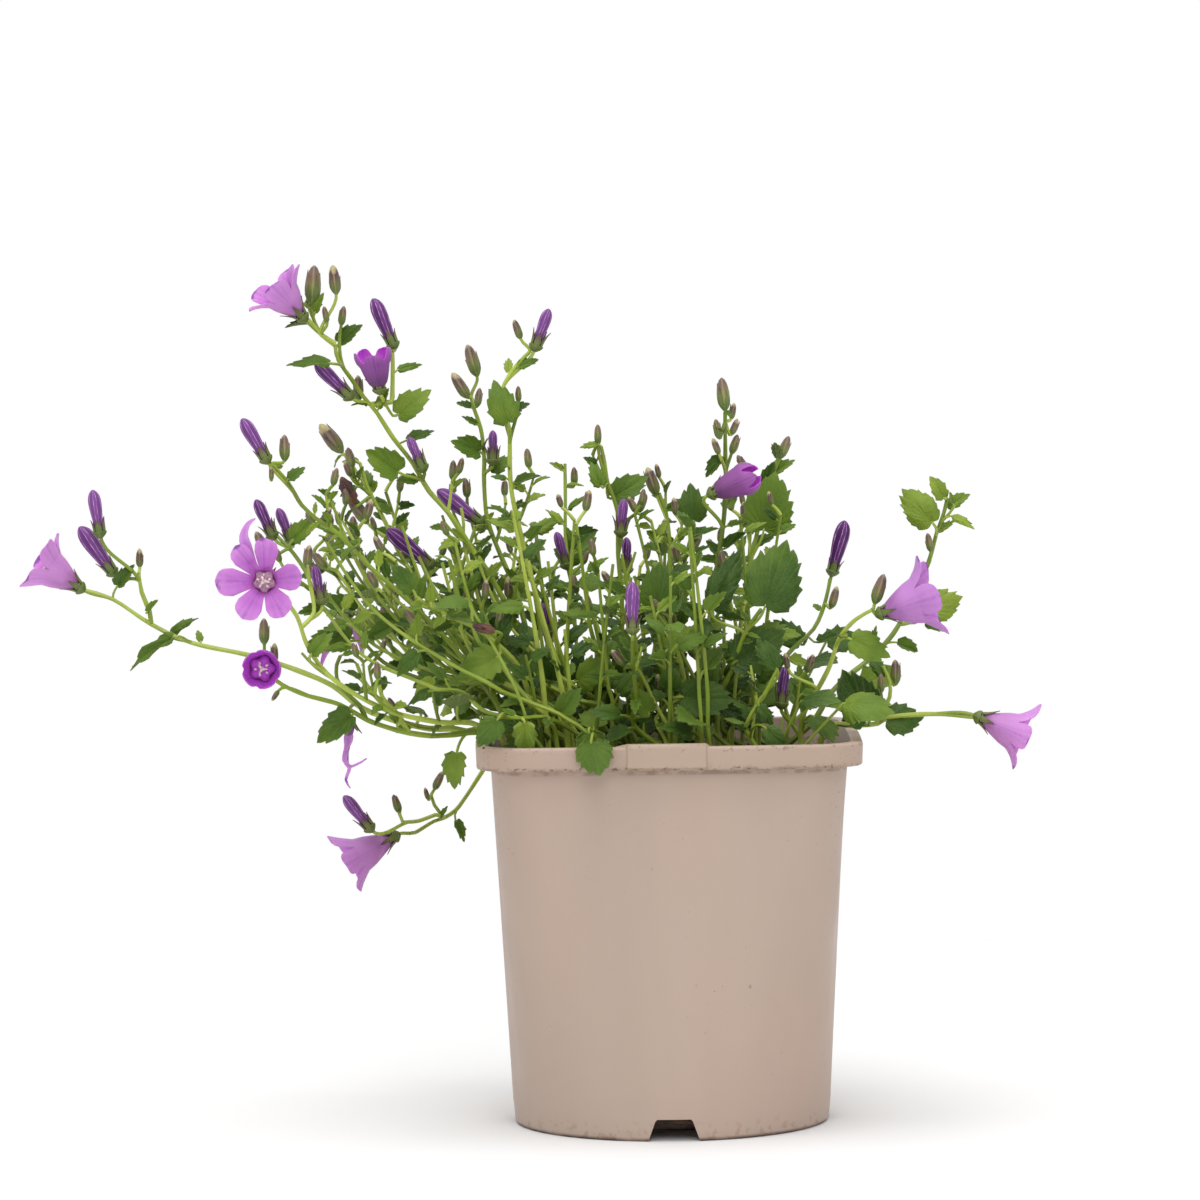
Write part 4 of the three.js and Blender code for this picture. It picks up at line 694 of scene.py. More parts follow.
for plant in plants:
    draw = drawer(SEED + 97 * plant["index"])
    main, count = plant["routes"][0], plant["spray"]["leaves"]
    for k in range(count):
        t = (k + 0.5 + 0.6 * (draw() - 0.5)) / count
        i = math.floor(mix(2, len(main) - 2, t))
        turn = k * GOLDEN + draw()
        length = mix(*LENGTHS, t) * mix(0.8, 1.2, draw())
        petiole = mix(*STALKS, math.sqrt(t)) * mix(0.7, 1.3, draw())
        tilt = draw()
        way = unit(minus(main[i], main[i - 1]))
        side, across = square_to(way)
        for attempt in range(TRIES):
            out = spoke(side, across, turn + attempt * GOLDEN)[0]
            lead = unit(blend((way, 0.5), (out, 1), (UP, 0.25)))
            base = blend((main[i], 1), (lead, petiole * (1 - SHORTER_STALK * attempt)))
            along = unit(blend((out, 1), (UP, mix(-0.5, 0.5, tilt)), (way, 0.3)))
            tip = blend((base, 1), (along, length * (1 - SHORTER_LEAF * attempt)))
            face = blend((UP, 0.8), (FRONT, mix(0, 1.3, tilt)))
            if add_leaf(plant, leaf_frame(base, tip, face, 0.15), False):
                break
print("leaves so far:", sum(len(p["leaves"]) for p in plants))

# %% [markdown]
# ## From rule to mesh
# Hundreds of leaves would be slow as separate objects, so each leafy stem gathers all its points and faces
# into one mesh. Three numbers travel with every point, because the finishes need them: "tone" differs from
# leaf to leaf, "line" marks veins and ribs, and "along" runs from the base of a form to its tip.


# %% Gather points and faces
class Gather:
    def __init__(self):
        self.points, self.faces, self.slots = [], [], []
        self.tone, self.line, self.along = [], [], []

    def add(self, points, faces, slot, tone=0.5, line=0.0, along=0.0):
        start, n = len(self.points), len(points)
        self.points.extend(np.asarray(points, dtype=float).tolist())
        self.add_faces(faces, slot, start)
        for store, value in ((self.tone, tone), (self.line, line), (self.along, along)):
            store.extend(np.broadcast_to(np.asarray(value, dtype=float), (n,)).tolist())
        return start

    def add_faces(self, faces, slot, start):
        self.faces.extend([[i + start for i in face] for face in faces])
        self.slots.extend([slot] * len(faces))

    def triangles(self):
        return sum(len(face) - 2 for face in self.faces)


def make_piece(name, gather, finishes, nodes=(), sharp=48):
    mesh = bpy.data.meshes.new(name)
    mesh.from_pydata((np.array(gather.points) * MM).tolist(), [], gather.faces)
    for key in ("tone", "line", "along"):
        mesh.attributes.new(key, "FLOAT", "POINT").data.foreach_set("value", getattr(gather, key))
    for finish in finishes:
        mesh.materials.append(finish)
    mesh.polygons.foreach_set("material_index", gather.slots)
    mesh.shade_smooth()
    mesh.set_sharp_from_angle(angle=math.radians(sharp))
    mesh.update()
    piece = link_object(name, mesh)
    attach(piece, "root")
    if nodes:
        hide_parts(*nodes)
    return piece


def quads(rows, cols, start=0, closed=False):
    across = cols if closed else cols - 1
    r, c = np.meshgrid(np.arange(rows - 1), np.arange(across), indexing="ij")
    a, b = r * cols + c, r * cols + (c + 1) % cols
    return (np.stack([a, b, b + cols, a + cols], axis=-1).reshape(-1, 4) + start).tolist()


def caps(rows, cols):
    return [list(range(cols))[::-1], list(range((rows - 1) * cols, rows * cols))]


print("faces of a tube with 3 rings of 8 points:", len(quads(3, 8, closed=True) + caps(3, 8)))

# %% [markdown]
# Stems, stalks and buds are all round forms along a route. Each ring is carried on from the one before, so
# the form never twists, and a list of radii shapes it: a stalk keeps its width, a bud swells and closes.

# %% Round forms along a route
def frames_along(route, hint=None):
    route = np.asarray(route, dtype=float)
    ways = np.gradient(route, axis=0)
    ways /= np.maximum(np.linalg.norm(ways, axis=1, keepdims=True), 1e-9)
    side = np.array(square_to(tuple(ways[0]), hint or FRONT)[0])
    sides = []
    for way in ways:
        side = side - way * side.dot(way)
        side = side / max(np.linalg.norm(side), 1e-9)
        sides.append(side)
    return route, ways, np.array(sides)


def around(count):
    return 2 * np.pi * np.arange(count) / count


def round_form(gather, route, radii, count, slot, tone=0.5, line=0.0, along=None, hint=None, shape=1.0):
    route, ways, sides = frames_along(route, hint)
    others = np.cross(ways, sides)
    turn, n = around(count), len(route)
    wide = np.asarray(radii, dtype=float)[:, None] * np.broadcast_to(shape, (n, count))
    rings = (route[:, None] + sides[:, None] * (wide * np.cos(turn))[..., None]
             + others[:, None] * (wide * np.sin(turn))[..., None])
    along = np.linspace(0, 1, n) if along is None else np.asarray(along)
    gather.add(rings.reshape(-1, 3), quads(n, count, closed=True) + caps(n, count), slot, tone,
               np.broadcast_to(line, (n, count)).ravel(), np.repeat(along, count))


trial = Gather()
round_form(trial, [(0, 0, 0), (0, 0, 5), (0, 0, 9)], [1.0, 0.9, 0.6], 8, 0)
print("points of a short stalk:", len(trial.points))

# %% [markdown]
# Leaves, sepals and petals are thin skins. We lay out one face as a grid of points, copy it a third of a
# millimetre deeper along its own slope, and close the edge all round. The two faces can then have different
# finishes, as a leaf does, whose underside is paler and duller than its top.


# %% Thin skins
def grid_normals(grid):
    down, right = np.gradient(grid, axis=0), np.gradient(grid, axis=1)
    normals = np.cross(right, down)
    return normals / np.maximum(np.linalg.norm(normals, axis=2, keepdims=True), 1e-9)


def skin_form(gather, grid, thick, upper, under, tone=0.5, line=0.0, along=0.0, closed=False):
    rows, cols = grid.shape[:2]
    if closed:
        normals = grid_normals(np.concatenate([grid[:, -1:], grid, grid[:, :1]], axis=1))[:, 1:-1]
        loops = [list(range(cols)), [(rows - 1) * cols + i for i in range(cols)][::-1]]
    else:
        normals = grid_normals(grid)
        loops = [list(range(cols)) + [r * cols + cols - 1 for r in range(1, rows)]
                 + [(rows - 1) * cols + c for c in range(cols - 2, -1, -1)]
                 + [r * cols for r in range(rows - 2, 0, -1)]]
    n = rows * cols
    points = np.concatenate([grid.reshape(-1, 3), (grid - normals * thick).reshape(-1, 3)])
    low = [[b, a, d, c] for a, b, c, d in quads(rows, cols, n, closed)]
    edge = [[b, a, a + n, b + n] for loop in loops for a, b in zip(loop, loop[1:] + loop[:1])]
    line, along = (np.tile(np.broadcast_to(v, (rows, cols)).ravel(), 2) for v in (line, along))
    start = gather.add(points, quads(rows, cols, closed=closed), upper, tone, line, along)
    gather.add_faces(low + edge, under, start)


trial = Gather()
skin_form(trial, np.array([[(x, y, 0.0) for x in range(4)] for y in range(3)]), 0.3, 0, 1)
print("faces of a skin of 3 by 4 points:", len(trial.faces))

# %% [markdown]
# A bellflower leaf is a broad egg shape with a heart-shaped base, a pointed tip and five to thirteen sharp
# teeth that point forwards. The outline is a list of angles from the base lobe to the tip: each tooth rises
# slowly on one side, ends in a point and drops back, and it marks where a vein ends.

# %% Outlines of leaves
chance = np.random.default_rng(77)
LARGE, MIDDLE = 14, 8.5
# The share of a tooth's width, how high its edge is there, and whether a vein ends there.
COARSE = ((0.0, 0.0, 0), (0.36, 0.35, 0), (0.76, 1.0, 1), (0.88, 0.4, 0))
SIMPLE = ((0.0, 0.0, 0), (0.76, 1.0, 1))


def blade_outline(teeth, shallow, deep, tooth):
    # Angles from the base lobe to the tip, and each one's share of the full reach.
    right = (teeth - 1) // 2
    widths = np.linspace(1.05, 0.85, right) * chance.uniform(0.8, 1.2, right)
    half_tip = 0.5 * widths.mean()
    ends = np.concatenate([[0], np.cumsum(widths)]) / (widths.sum() + half_tip) * BACK_LOBE
    valley = chance.uniform(deep, shallow, right + 1)
    angles, reach, vein = [], [], []
    for k in range(right):
        for share, high, mark in tooth:
            angles.append(BACK_LOBE - mix(ends[k], ends[k + 1], share))
            reach.append(mix(valley[k], chance.uniform(0.95, 1.05) if high == 1 else 1.0, high))
            vein.append(mark)
    angles += [BACK_LOBE - ends[-1], 0.5 * (BACK_LOBE - ends[-1])]
    return np.array(angles), np.array(reach + [valley[-1], 0.97]), np.array(vein + [0, 0], dtype=float)


def both_sides(teeth, length):
    shallow, deep = (0.94, 0.82) if length > LARGE else (0.9, 0.78) if length > 8 else (0.86, 0.74)
    tooth = COARSE if length > MIDDLE else SIMPLE
    right, left = (blade_outline(teeth, shallow, deep, tooth) for _ in range(2))
    return (np.concatenate([r, [at_tip], sign * l[::-1]])
            for r, l, at_tip, sign in zip(right, left, (0.0, 1.08, 1.0), (-1, 1, 1)))


print("points on the outline of a leaf with 13 teeth:", 2 * (6 * len(COARSE) + 2) + 1)

# %% [markdown]
# The veins fan out from the stalk to the teeth, and the blade bulges up between them. We sweep spokes from
# the stalk to the toothed outline: the spokes that end in a tooth are the veins, and the ones between are
# lifted a little, which gives the quilted look. The blade is also cupped along its middle, droops towards
# its tip, curls at its edge and waves, each leaf by its own draws. Small leaves get half the spokes.

# %% Leaf blades
LEAF_ROWS = np.array([0.03, 0.22, 0.45, 0.66, 0.84, 1.0])
TEETH_FROM, FOLD, WAVE, CURL, QUILT = 0.6, 1.1, 0.05, 0.16, 0.010


def build_leaf(gather, leaf, way, teeth, tone, curl, rows, slim):
    length = leaf["length"]
    base, along, across, face = (np.array(leaf[k]) for k in ("base", "along", "across", "face"))
    angles, reach, vein = both_sides(teeth, length)
    full = 0.455 + 0.15 * np.exp(-((angles / 0.62) ** 2)) + 0.05 * np.clip((np.abs(angles) - 1.7) / 0.8, 0, 1)
    start = np.array([0.05, 0.0])
    plain, toothed = (np.stack([BLADE_MIDDLE + r * np.cos(angles), r * np.sin(angles)], axis=1)
                      for r in (full, full * reach))
    share = rows[:, None]
    teeth_in = np.clip((share - TEETH_FROM) / (1 - TEETH_FROM), 0, 1) ** 1.5
    inner = 0.95 * (plain - start)[None]
    flat = start + share[..., None] * mix(inner, (toothed - start)[None], teeth_in[..., None])
    x, y = flat[..., 0] * length, flat[..., 1] * length * slim
    wave = np.sin(angles * chance.integers(3, 6) + chance.uniform(0, 6)) * chance.uniform(0.2, 1.0)
    lift = (BLADE_CUP * np.abs(y) - leaf["droop"] * x * x / length
            + QUILT * length * (1 - vein) * np.sin(np.pi * np.minimum(1, share * 0.96)) ** 0.7
            + (1 - slim) * FOLD * np.abs(y)
            + WAVE * length * wave * share ** 3 - curl * length * share ** 3 * CURL)
    grid = base + x[..., None] * along + y[..., None] * across + lift[..., None] * face
    line = np.clip(vein + np.exp(-((angles / 0.06) ** 2)), 0, 1) * np.ones_like(share)
    skin_form(gather, grid, 0.32 if length > 9 else 0.24, 1, 2, tone, line, share * np.ones_like(x))
    radii = np.linspace(0.56, 0.46, len(way)) * (1.0 if length > 9 else 0.75)
    radii[0] *= 1.25
    route = list(way) + [tuple(base + along * 0.06 * length - face * 0.1)]
    round_form(gather, route, np.append(radii, 0.3), 6, 0, tone, along=np.linspace(0.2, 0.8, len(route)))


print("rows from stalk to edge:", len(LEAF_ROWS))

# %% [markdown]
# Sepals are narrow pointed blades. Each stands on a foot at the rim of a cup or bud, rises along its axis,
# and leans outwards or hugs what is inside it.


# %% Sepals
def build_sepal(gather, base, axis, round_base, length, wide, foot, lean, curve, tone, slot, hug=0.0):
    rows = np.array([0.0, 0.18, 0.4, 0.62, 0.82, 1.0])
    half = wide * np.array([0.75, 1.0, 0.92, 0.66, 0.34, 0.04])
    across = np.linspace(-1, 1, 5)
    out, over = map(np.asarray, round_base)
    away = foot + lean * length * rows ** curve + hug * np.sin(np.pi * rows ** 0.7) * length
    grid = (np.asarray(base) + (length * rows)[:, None, None] * np.asarray(axis) + away[:, None, None] * out
            + (half[:, None] * across)[..., None] * over
            - (0.22 * half[:, None] * across ** 2)[..., None] * out)
    skin_form(gather, grid, 0.22, slot, slot, tone, np.exp(-((across / 0.3) ** 2)), rows[:, None])


def ribs(turn, depth, count=5):
    return 1 + depth * np.cos(count * turn)


print("a five-ribbed ring of 10 points swells by", round(ribs(around(10), 0.08).max() - 1, 2))

# %% [markdown]
# A green bud is a spindle of five sepals folded over a bud that is still hidden. We build the spindle with
# soft ribs, then lay the five sepals over it, each with its own point, so that the tip looks split. A
# withered bud has deeper, uneven folds.

# %% Green buds
BUD_SHARES = np.array([-0.04, 0.02, 0.1, 0.22, 0.36, 0.52, 0.68, 0.82, 0.93, 1.0])
BUD_RADII = np.array([0.05, 0.1, 0.15, 0.18, 0.19, 0.185, 0.17, 0.14, 0.09, 0.02])


def build_bud(gather, way, foot, tip, tone, withered=False):
    axis, length = unit(minus(tip, foot)), gap(tip, foot)
    side, across = square_to(axis)
    round_form(gather, way, np.linspace(0.62, 0.5, len(way)), 7, 0, tone)
    count = 20 if length > 6.5 else 10
    radii, turn = length * BUD_RADII, around(count)
    shape, core, skin_slot = ribs(turn, 0.08), 3, 4
    if withered:
        shape, core, skin_slot = ribs(turn, 0.3, 7), 5, 5
        radii = radii * (1 + 0.25 * np.sin(np.arange(len(radii)) * 2.3))
    route = [blend((foot, 1), (axis, s * length)) for s in BUD_SHARES]
    round_form(gather, route, radii, count, core, tone, 0.5 + 0.5 * np.cos(5 * turn), np.clip(BUD_SHARES, 0, 1),
               hint=side, shape=shape)
    for k in range(5):
        reach = length * chance.uniform(0.5, 0.86)
        spread = length * chance.uniform(-0.02, 0.1)
        build_sepal(gather, blend((foot, 1), (axis, 0.06 * length)), axis,
                    spoke(side, across, 2 * math.pi * (k + 0.5) / 5), reach, 0.105 * length, 0.13 * length,
                    spread / reach, 2.2, tone, skin_slot, hug=0.1)


print("a green bud of 8 mm is", round(16 * BUD_RADII.max(), 1), "mm thick")

# %% [markdown]
# Under every flower sits a small green cup with five ribs and five narrow sepals. Around a closed bud the
# sepals hug it; under an open bell they lean outwards.


# %% Flower cups
def build_cup(gather, way, foot, axis, sepal, lean, tone, closed):
    side, across = square_to(axis)
    round_form(gather, way, np.linspace(0.62, 0.58, len(way)), 7, 0, tone)
    route = [blend((foot, 1), (axis, h)) for h in (-2.3, -1.9, -1.3, -0.7, -0.15, 0.1)]
    turn = around(20)
    round_form(gather, route, [0.55, 1.1, 1.75, 2.2, 2.3, 1.9], 20, 4, tone, 0.5 + 0.5 * np.cos(5 * turn),
               np.linspace(0, 0.3, 6), hint=side, shape=ribs(turn, 0.08))
    for k in range(5):
        length = sepal * chance.uniform(0.8, 1.05) * (1.22 if closed else 1)
        tilt = (chance.uniform(0.08, 0.3) if closed else lean * chance.uniform(0.6, 1.2))
        build_sepal(gather, blend((foot, 1), (axis, -0.25)), axis, spoke(side, across, 2 * math.pi * k / 5),
                    length, 1.05 if closed else 0.95, 2.0, tilt, 2.0 if closed else 1.5, tone, 4)


print("sepals of an open bell, longest:", round(max(FLOWERS[kind][1] for kind in FLOWERS) * 1.05, 2), "mm")

# %% [markdown]
# A closed violet bud is a folded bell: five pale ribs with deep furrows between them, wound a little round
# its axis, fattest past its middle and drawn to a blunt point. One round form with a five-fold shape that
# turns as it goes gives all of that.

# %% Violet buds
PLEATS, BUD_POINTS = 5, 60


def build_violet_bud(gather, base, axis, length, tone, twist):
    t = np.array([0, 0.04, 0.12, 0.22, 0.33, 0.45, 0.56, 0.66, 0.76, 0.85, 0.92, 0.97, 1.0])
    wide = length * np.interp(t, [0, 0.12, 0.3, 0.5, 0.62, 0.76, 0.85, 0.92, 0.97, 1],
                              [0.08, 0.105, 0.13, 0.15, 0.16, 0.155, 0.136, 0.102, 0.062, 0.02])
    phase = PLEATS * (around(BUD_POINTS)[None] - twist * t[:, None] ** 1.5)
    depth = np.interp(t, [0, 0.2, 0.6, 1], [0.03, 0.1, 0.16, 0.3])[:, None]
    shape = 1 + depth * ((0.5 + 0.5 * np.cos(phase)) ** 0.6 - 0.75)
    folded = np.abs((phase + np.pi) % (2 * np.pi) - np.pi)
    line = np.exp(-((folded - 1.2) / 0.3) ** 2) + 0.35 * np.exp(-(folded / 0.4) ** 2)
    route = [blend((base, 1), (axis, s * length)) for s in t]
    round_form(gather, route, wide, BUD_POINTS, 0, tone, line, t, hint=square_to(axis)[0], shape=shape)


print("points round a violet bud:", BUD_POINTS)

# %% [markdown]
# An open bell is a narrow tube that widens to a mouth and parts into pointed lobes, five on most flowers. We
# sweep twelve columns per lobe round the axis. Below the mouth all columns run up together; above it each
# column ends where the lobe's edge is, so the middle of a lobe reaches furthest. Lobes may stand at any angle
# and have any length, because few flowers are perfect: the one that faces us has six, and a thin one behind.

# %% The lobes of a bell
LOBE_COLUMNS = 12
EVEN_LOBES = [(0, 1.0), (72, 1.0), (144, 1.0), (216, 1.0), (288, 1.0)]
FRONT_LOBES = [(29, 0.88), (98, 0.78), (180, 0.98), (218, 1.08), (269, 1.14), (330, 0.96)]
WIDEST_LOBE = 0.6


def lobe_columns(lobes, turned):
    # Each column's angle, its place across its lobe from -1 to 1, the lobe's curl, and how far it reaches.
    centres = np.radians([a for a, _ in lobes])
    before, after = np.roll(centres, 1), np.roll(centres, -1)
    before[0] -= 2 * np.pi
    after[-1] += 2 * np.pi
    which = np.repeat(np.arange(len(lobes)), LOBE_COLUMNS)
    place = np.tile(np.arange(LOBE_COLUMNS) / (LOBE_COLUMNS / 2) - 1, len(lobes))
    half = np.where(place < 0, (centres - before)[which], (after - centres)[which]) / 2
    turn = centres[which] + place * half + math.radians(turned)
    place = np.clip(place * half / np.minimum(half, WIDEST_LOBE), -1, 1)
    curl = chance.uniform(-0.5, 0.8, len(lobes))[which]
    stretch = (chance.uniform(0.92, 1.08, len(lobes)) if lobes is EVEN_LOBES else np.ones(len(lobes)))[which]
    stretch = stretch * np.array([r for _, r in lobes])[which]
    round_end = np.clip(1 - np.abs(place) ** 3.4, 0.0, 1) ** 0.8 * 0.93
    return turn, place, curl, (round_end + 0.07 * np.exp(-((place / 0.18) ** 2))) * stretch


print("columns of a bell with five lobes:", len(EVEN_LOBES) * LOBE_COLUMNS)

# %% [markdown]
# In the throat stands the pale hairy style with three curled branches, ringed by five short stamens and by
# the hairs that close the throat.

# %% Style, stamens and throat
BRANCH = ((0.1, 0), (0.45, 0.65), (0.95, 1.05), (1.4, 1.0), (1.65, 0.6), (1.5, 0.2))
STAMEN = ((0.8, 2.0), (0.9, 2.2), (0.97, 2.0), (1.0, 1.5))


def build_style(gather, base, axis, side, across, length, tone, young):
    def rise(share):
        return base + axis * length * share

    round_form(gather, [rise(s) for s in (0.02, 0.2, 0.45, 0.7, 0.86, 0.94)], [1.0, 0.8, 0.66, 0.8, 0.9, 0.5],
               10, 2, tone)
    for k in range(3):
        a = 2 * math.pi * k / 3 + tone * 3
        out = side * math.cos(a) + across * math.sin(a)
        round_form(gather, [rise(0.9) + out * r + axis * h for r, h in BRANCH],
                   [0.42, 0.42, 0.38, 0.34, 0.28, 0.14], 8, 2, tone)
    swell = 1.14 if young else 1.0
    round_form(gather, [rise(h) for h in (0.4, 0.62, 0.78, 0.86, 0.88)],
               [r * swell for r in (2.0, 3.2, 3.2, 2.2, 0.5)], 30, 4 if young else 5, tone,
               shape=ribs(around(30), 0.16), along=[0.8] * 5)
    for k in range(5):
        a = 2 * math.pi * (k + 0.5) / 5
        out = side * math.cos(a) + across * math.sin(a)
        round_form(gather, [rise(h) + out * r for h, r in STAMEN], [0.3, 0.26, 0.4, 0.16], 6, 2, tone)


trial = Gather()
build_style(trial, *np.array([(0.0, 0, 0), (0, 0, 1), (1, 0, 0), (0, 1, 0)]), 12, 0.5, False)
print("triangles in a throat:", trial.triangles())

# %% [markdown]
# Now the bell itself, row by row from its foot: the tube's rows first, then the lobes', which bulge outwards
# between mouth and tip and curl back at their ends. Bells seen from the side are funnels with a wide mouth;
# the flat flower in front has a narrow throat. A ruffle keeps the edges uneven.

# %% Bells
TUBE = np.array([0, 0.05, 0.16, 0.32, 0.52, 0.74, 1.0])
TUBE_SHARE, LOBE_ROWS = 0.8, 9


def bell_profile(length, openness, closing, reach, curl):
    funnel = max(0.0, 1 - abs(openness - 0.72) / 0.26)
    mouth = mix(4.8, 3.9, openness) + 1.7 * funnel
    shoulder = (mix(5.6, 9.8, openness) - 0.9 * closing, mix(1.12, 1.04, openness) * length)
    tip = (mix(4.6, 13.8, openness) - 3.2 * closing, bell_reach(openness) * length + 1.8 * funnel)
    narrow = np.array([0, 0.2, 0.24, 0.2, 0.12, 0.04, 0]) * mouth * funnel
    tube_r = np.array([1.4, 2.0, 0.58 * mouth, 0.7 * mouth, 0.8 * mouth, 0.9 * mouth, mouth]) - narrow * 0.9
    flat = np.ones(len(reach))
    rows = [(flat * r, flat * (h * TUBE_SHARE * length), flat * 0) for r, h in zip(tube_r, TUBE)]
    for w in np.linspace(0, 1, LOBE_ROWS + 1)[1:]:
        s = w * np.maximum(reach, mix(0.4, 0.035, min(1, openness / 0.5)))
        bulge = 3.6 * s * (1 - s)
        r = mix(mouth, tip[0], s) + (shoulder[0] - mix(mouth, tip[0], 0.5)) * bulge
        h = mix(TUBE_SHARE * length, tip[1], s) + (shoulder[1] - mix(TUBE_SHARE * length, tip[1], 0.5)) * bulge
        back = curl * s ** 2.5 * mix(0.3, 1.0, openness)
        rows.append((r + 0.9 * back, h - 3.0 * back, s))
    return funnel, (np.array(v) for v in zip(*rows))


def build_bell(gather, base, axis, length, openness, tone, finishes=(0, 1), lobes=EVEN_LOBES, closing=0.0,
               scale=1.0, turned=0.0):
    turn, place, curl, reach = lobe_columns(lobes, turned)
    funnel, (radius, height, share) = bell_profile(length, openness, closing, reach, curl)
    side, across = map(np.array, square_to(axis))
    base, axis = np.array(base), np.array(axis)
    if funnel > 0:
        # The first lobe faces the viewer.
        side = np.array(FRONT) - axis * np.dot(FRONT, axis)
        side /= np.linalg.norm(side)
        across = np.cross(axis, side)
    height = height - 0.7 * (1 - np.abs(place)) ** 2 * share * mix(0.3, 1, openness)
    ruffle = np.sin(turn * 11 + tone * 20) * 0.1 + np.sin(turn * 5 + tone * 9) * 0.3
    height = (height + ruffle * share * mix(0.4, 1, openness)) * scale
    radius = (radius + 0.16 * np.cos(5 * turn) * (1 - share)) * scale
    grid = (base + height[..., None] * axis + (radius * np.cos(turn))[..., None] * side
            + (radius * np.sin(turn))[..., None] * across)
    vein = np.maximum(np.exp(-((place / 0.1) ** 2)), 0.5 * np.exp(-(((np.abs(place) - 0.36) / 0.1) ** 2)))
    in_tube = np.arange(len(grid))[:, None] < len(TUBE)
    along = np.where(in_tube, np.append(TUBE * 0.5, np.zeros(LOBE_ROWS))[:, None],
                     0.5 + 0.5 * np.minimum(share, 1))
    skin_form(gather, grid, 0.3, finishes[0], finishes[1], tone, vein, along, closed=True)
    round_form(gather, [base + axis * h for h in (0.05, 0.35)], [1.5, 1.5], 12, finishes[1], tone, along=[0, 0])
    build_style(gather, base, axis, side, across, length, tone, openness < 0.5)


print("rows of a bell:", len(TUBE) + LOBE_ROWS)

# %% [markdown]
# Old flowers shrivel until only narrow strips of their petals hang from the cup. Each strip is a thin skin
# along a curve, widest in its middle and drawn to a point. The thin lobe of the front flower is one too.

# %% Petal strips and wilted flowers
def build_strip(gather, points, wide, tone):
    route, ways, sides = frames_along(smooth([tuple(map(float, p)) for p in points], 1.3))
    t = np.linspace(0, 1, len(route))
    half = wide * np.sin(np.pi * (0.2 + 0.8 * t)) ** 0.8 * (1 + 0.15 * np.sin(9 * t + 9 * tone)) + 0.04
    across = np.linspace(-1, 1, 5)
    others = np.cross(ways, sides)
    grid = (route[:, None] + (half[:, None] * across)[..., None] * others[:, None]
            + (0.35 * half[:, None] * across ** 2)[..., None] * sides[:, None])
    skin_form(gather, grid, 0.26, 0, 1, tone, np.exp(-((across / 0.4) ** 2)), 0.5 + 0.5 * t[:, None])


def build_wilted(gather, base, axis, tube, strips, tone):
    # What is left of the tube, crumpled, and the strips that hang from it, as offsets from its foot.
    route = [blend((base, 1), (axis, tube * h)) for h in (0, 0.15, 0.4, 0.7, 0.9, 1)]
    round_form(gather, route, [1.1, 1.5, 1.5, 1.2, 0.9, 0.2], 21, 3, tone, shape=ribs(around(21), 0.22, 7))
    middle = blend((base, 1), (axis, 0.5 * tube))
    for wide, offsets in strips:
        build_strip(gather, [middle] + [plus(base, o) for o in offsets], wide, tone)


trial = Gather()
build_strip(trial, [(0, 0, 0), (0, 1, -8), (1, 0, -15)], 1.2, 0.5)
print("triangles of a petal strip:", trial.triangles())

# %% [markdown]
# ## The growth that is too fine for the solids
# A real plant is far denser than its few large leaves. Each stem bears a small leaf every few millimetres,
# and most of them have a twig in their corner with smaller leaves and green buds. The same clearance rule
# places them, with a smaller gap, so none of them runs through a flower or a larger leaf.

# %% Thin stems between the thick ones
FINE_CLEAR, THIN = 0.15, 0.55
UPRIGHT, ARCHING = 46, 40
THIN_SHIFTS = (0, 4, -4, 8, -8, 12, -12)
UPRIGHT_X, UPRIGHT_Y, UPRIGHT_RISE = (-40, 34), (-36, 38), (36, 88)
ARCHING_X, ARCHING_Y, ARCHING_END, ARCHING_RISE = (-40, -6), (-34, 30), (-60, -110), (30, 96)
lush = drawer(9127)
cushion, arching = (dict(node=node, leaves=[], buds=[], twigs=[]) for node in ("cushion", "arching"))

# One leaf comes up inside the rim and hangs over its front.
over_rim = [(-20.0, -45.0, 111.0), (-22.0, -50.0, 120.0), (-23.0, -54.0, 126.4), (-23.8, -58.6, 128.8),
            (-24.0, -61.6, 128.2)]
rim_leaf = leaf_frame((-24.4, -62.6, 126.6), (-21.8, -65.4, 116.8), FRONT, 0.1)
rim_leaf["age"], rim_leaf["slim"] = (0.3, 0.35), 1.3
cushion["leaves"].append((rim_leaf, smooth(over_rim + [rim_leaf["base"]], 1.5)))
take("cushion", "blade", blade_balls(rim_leaf))


def thin_stem(owner, points):
    # Bends a thin stem away from what stands in its way, and tries again further forwards or backwards.
    for shift in THIN_SHIFTS:
        last = len(points) - 1
        moved = [plus(p, (0.0, shift * k / last, 0.0)) for k, p in enumerate(points)]
        route = bend_clear(smooth(moved, BEND_STEP), THIN, 2)
        if is_clear(owner["node"], balls_along(route[3:], THIN), FINE_CLEAR):
            take(owner["node"], "stem", balls_along(route, THIN))
            owner["twigs"].append((route, mix(0.75, 1.0, lush())))
            return


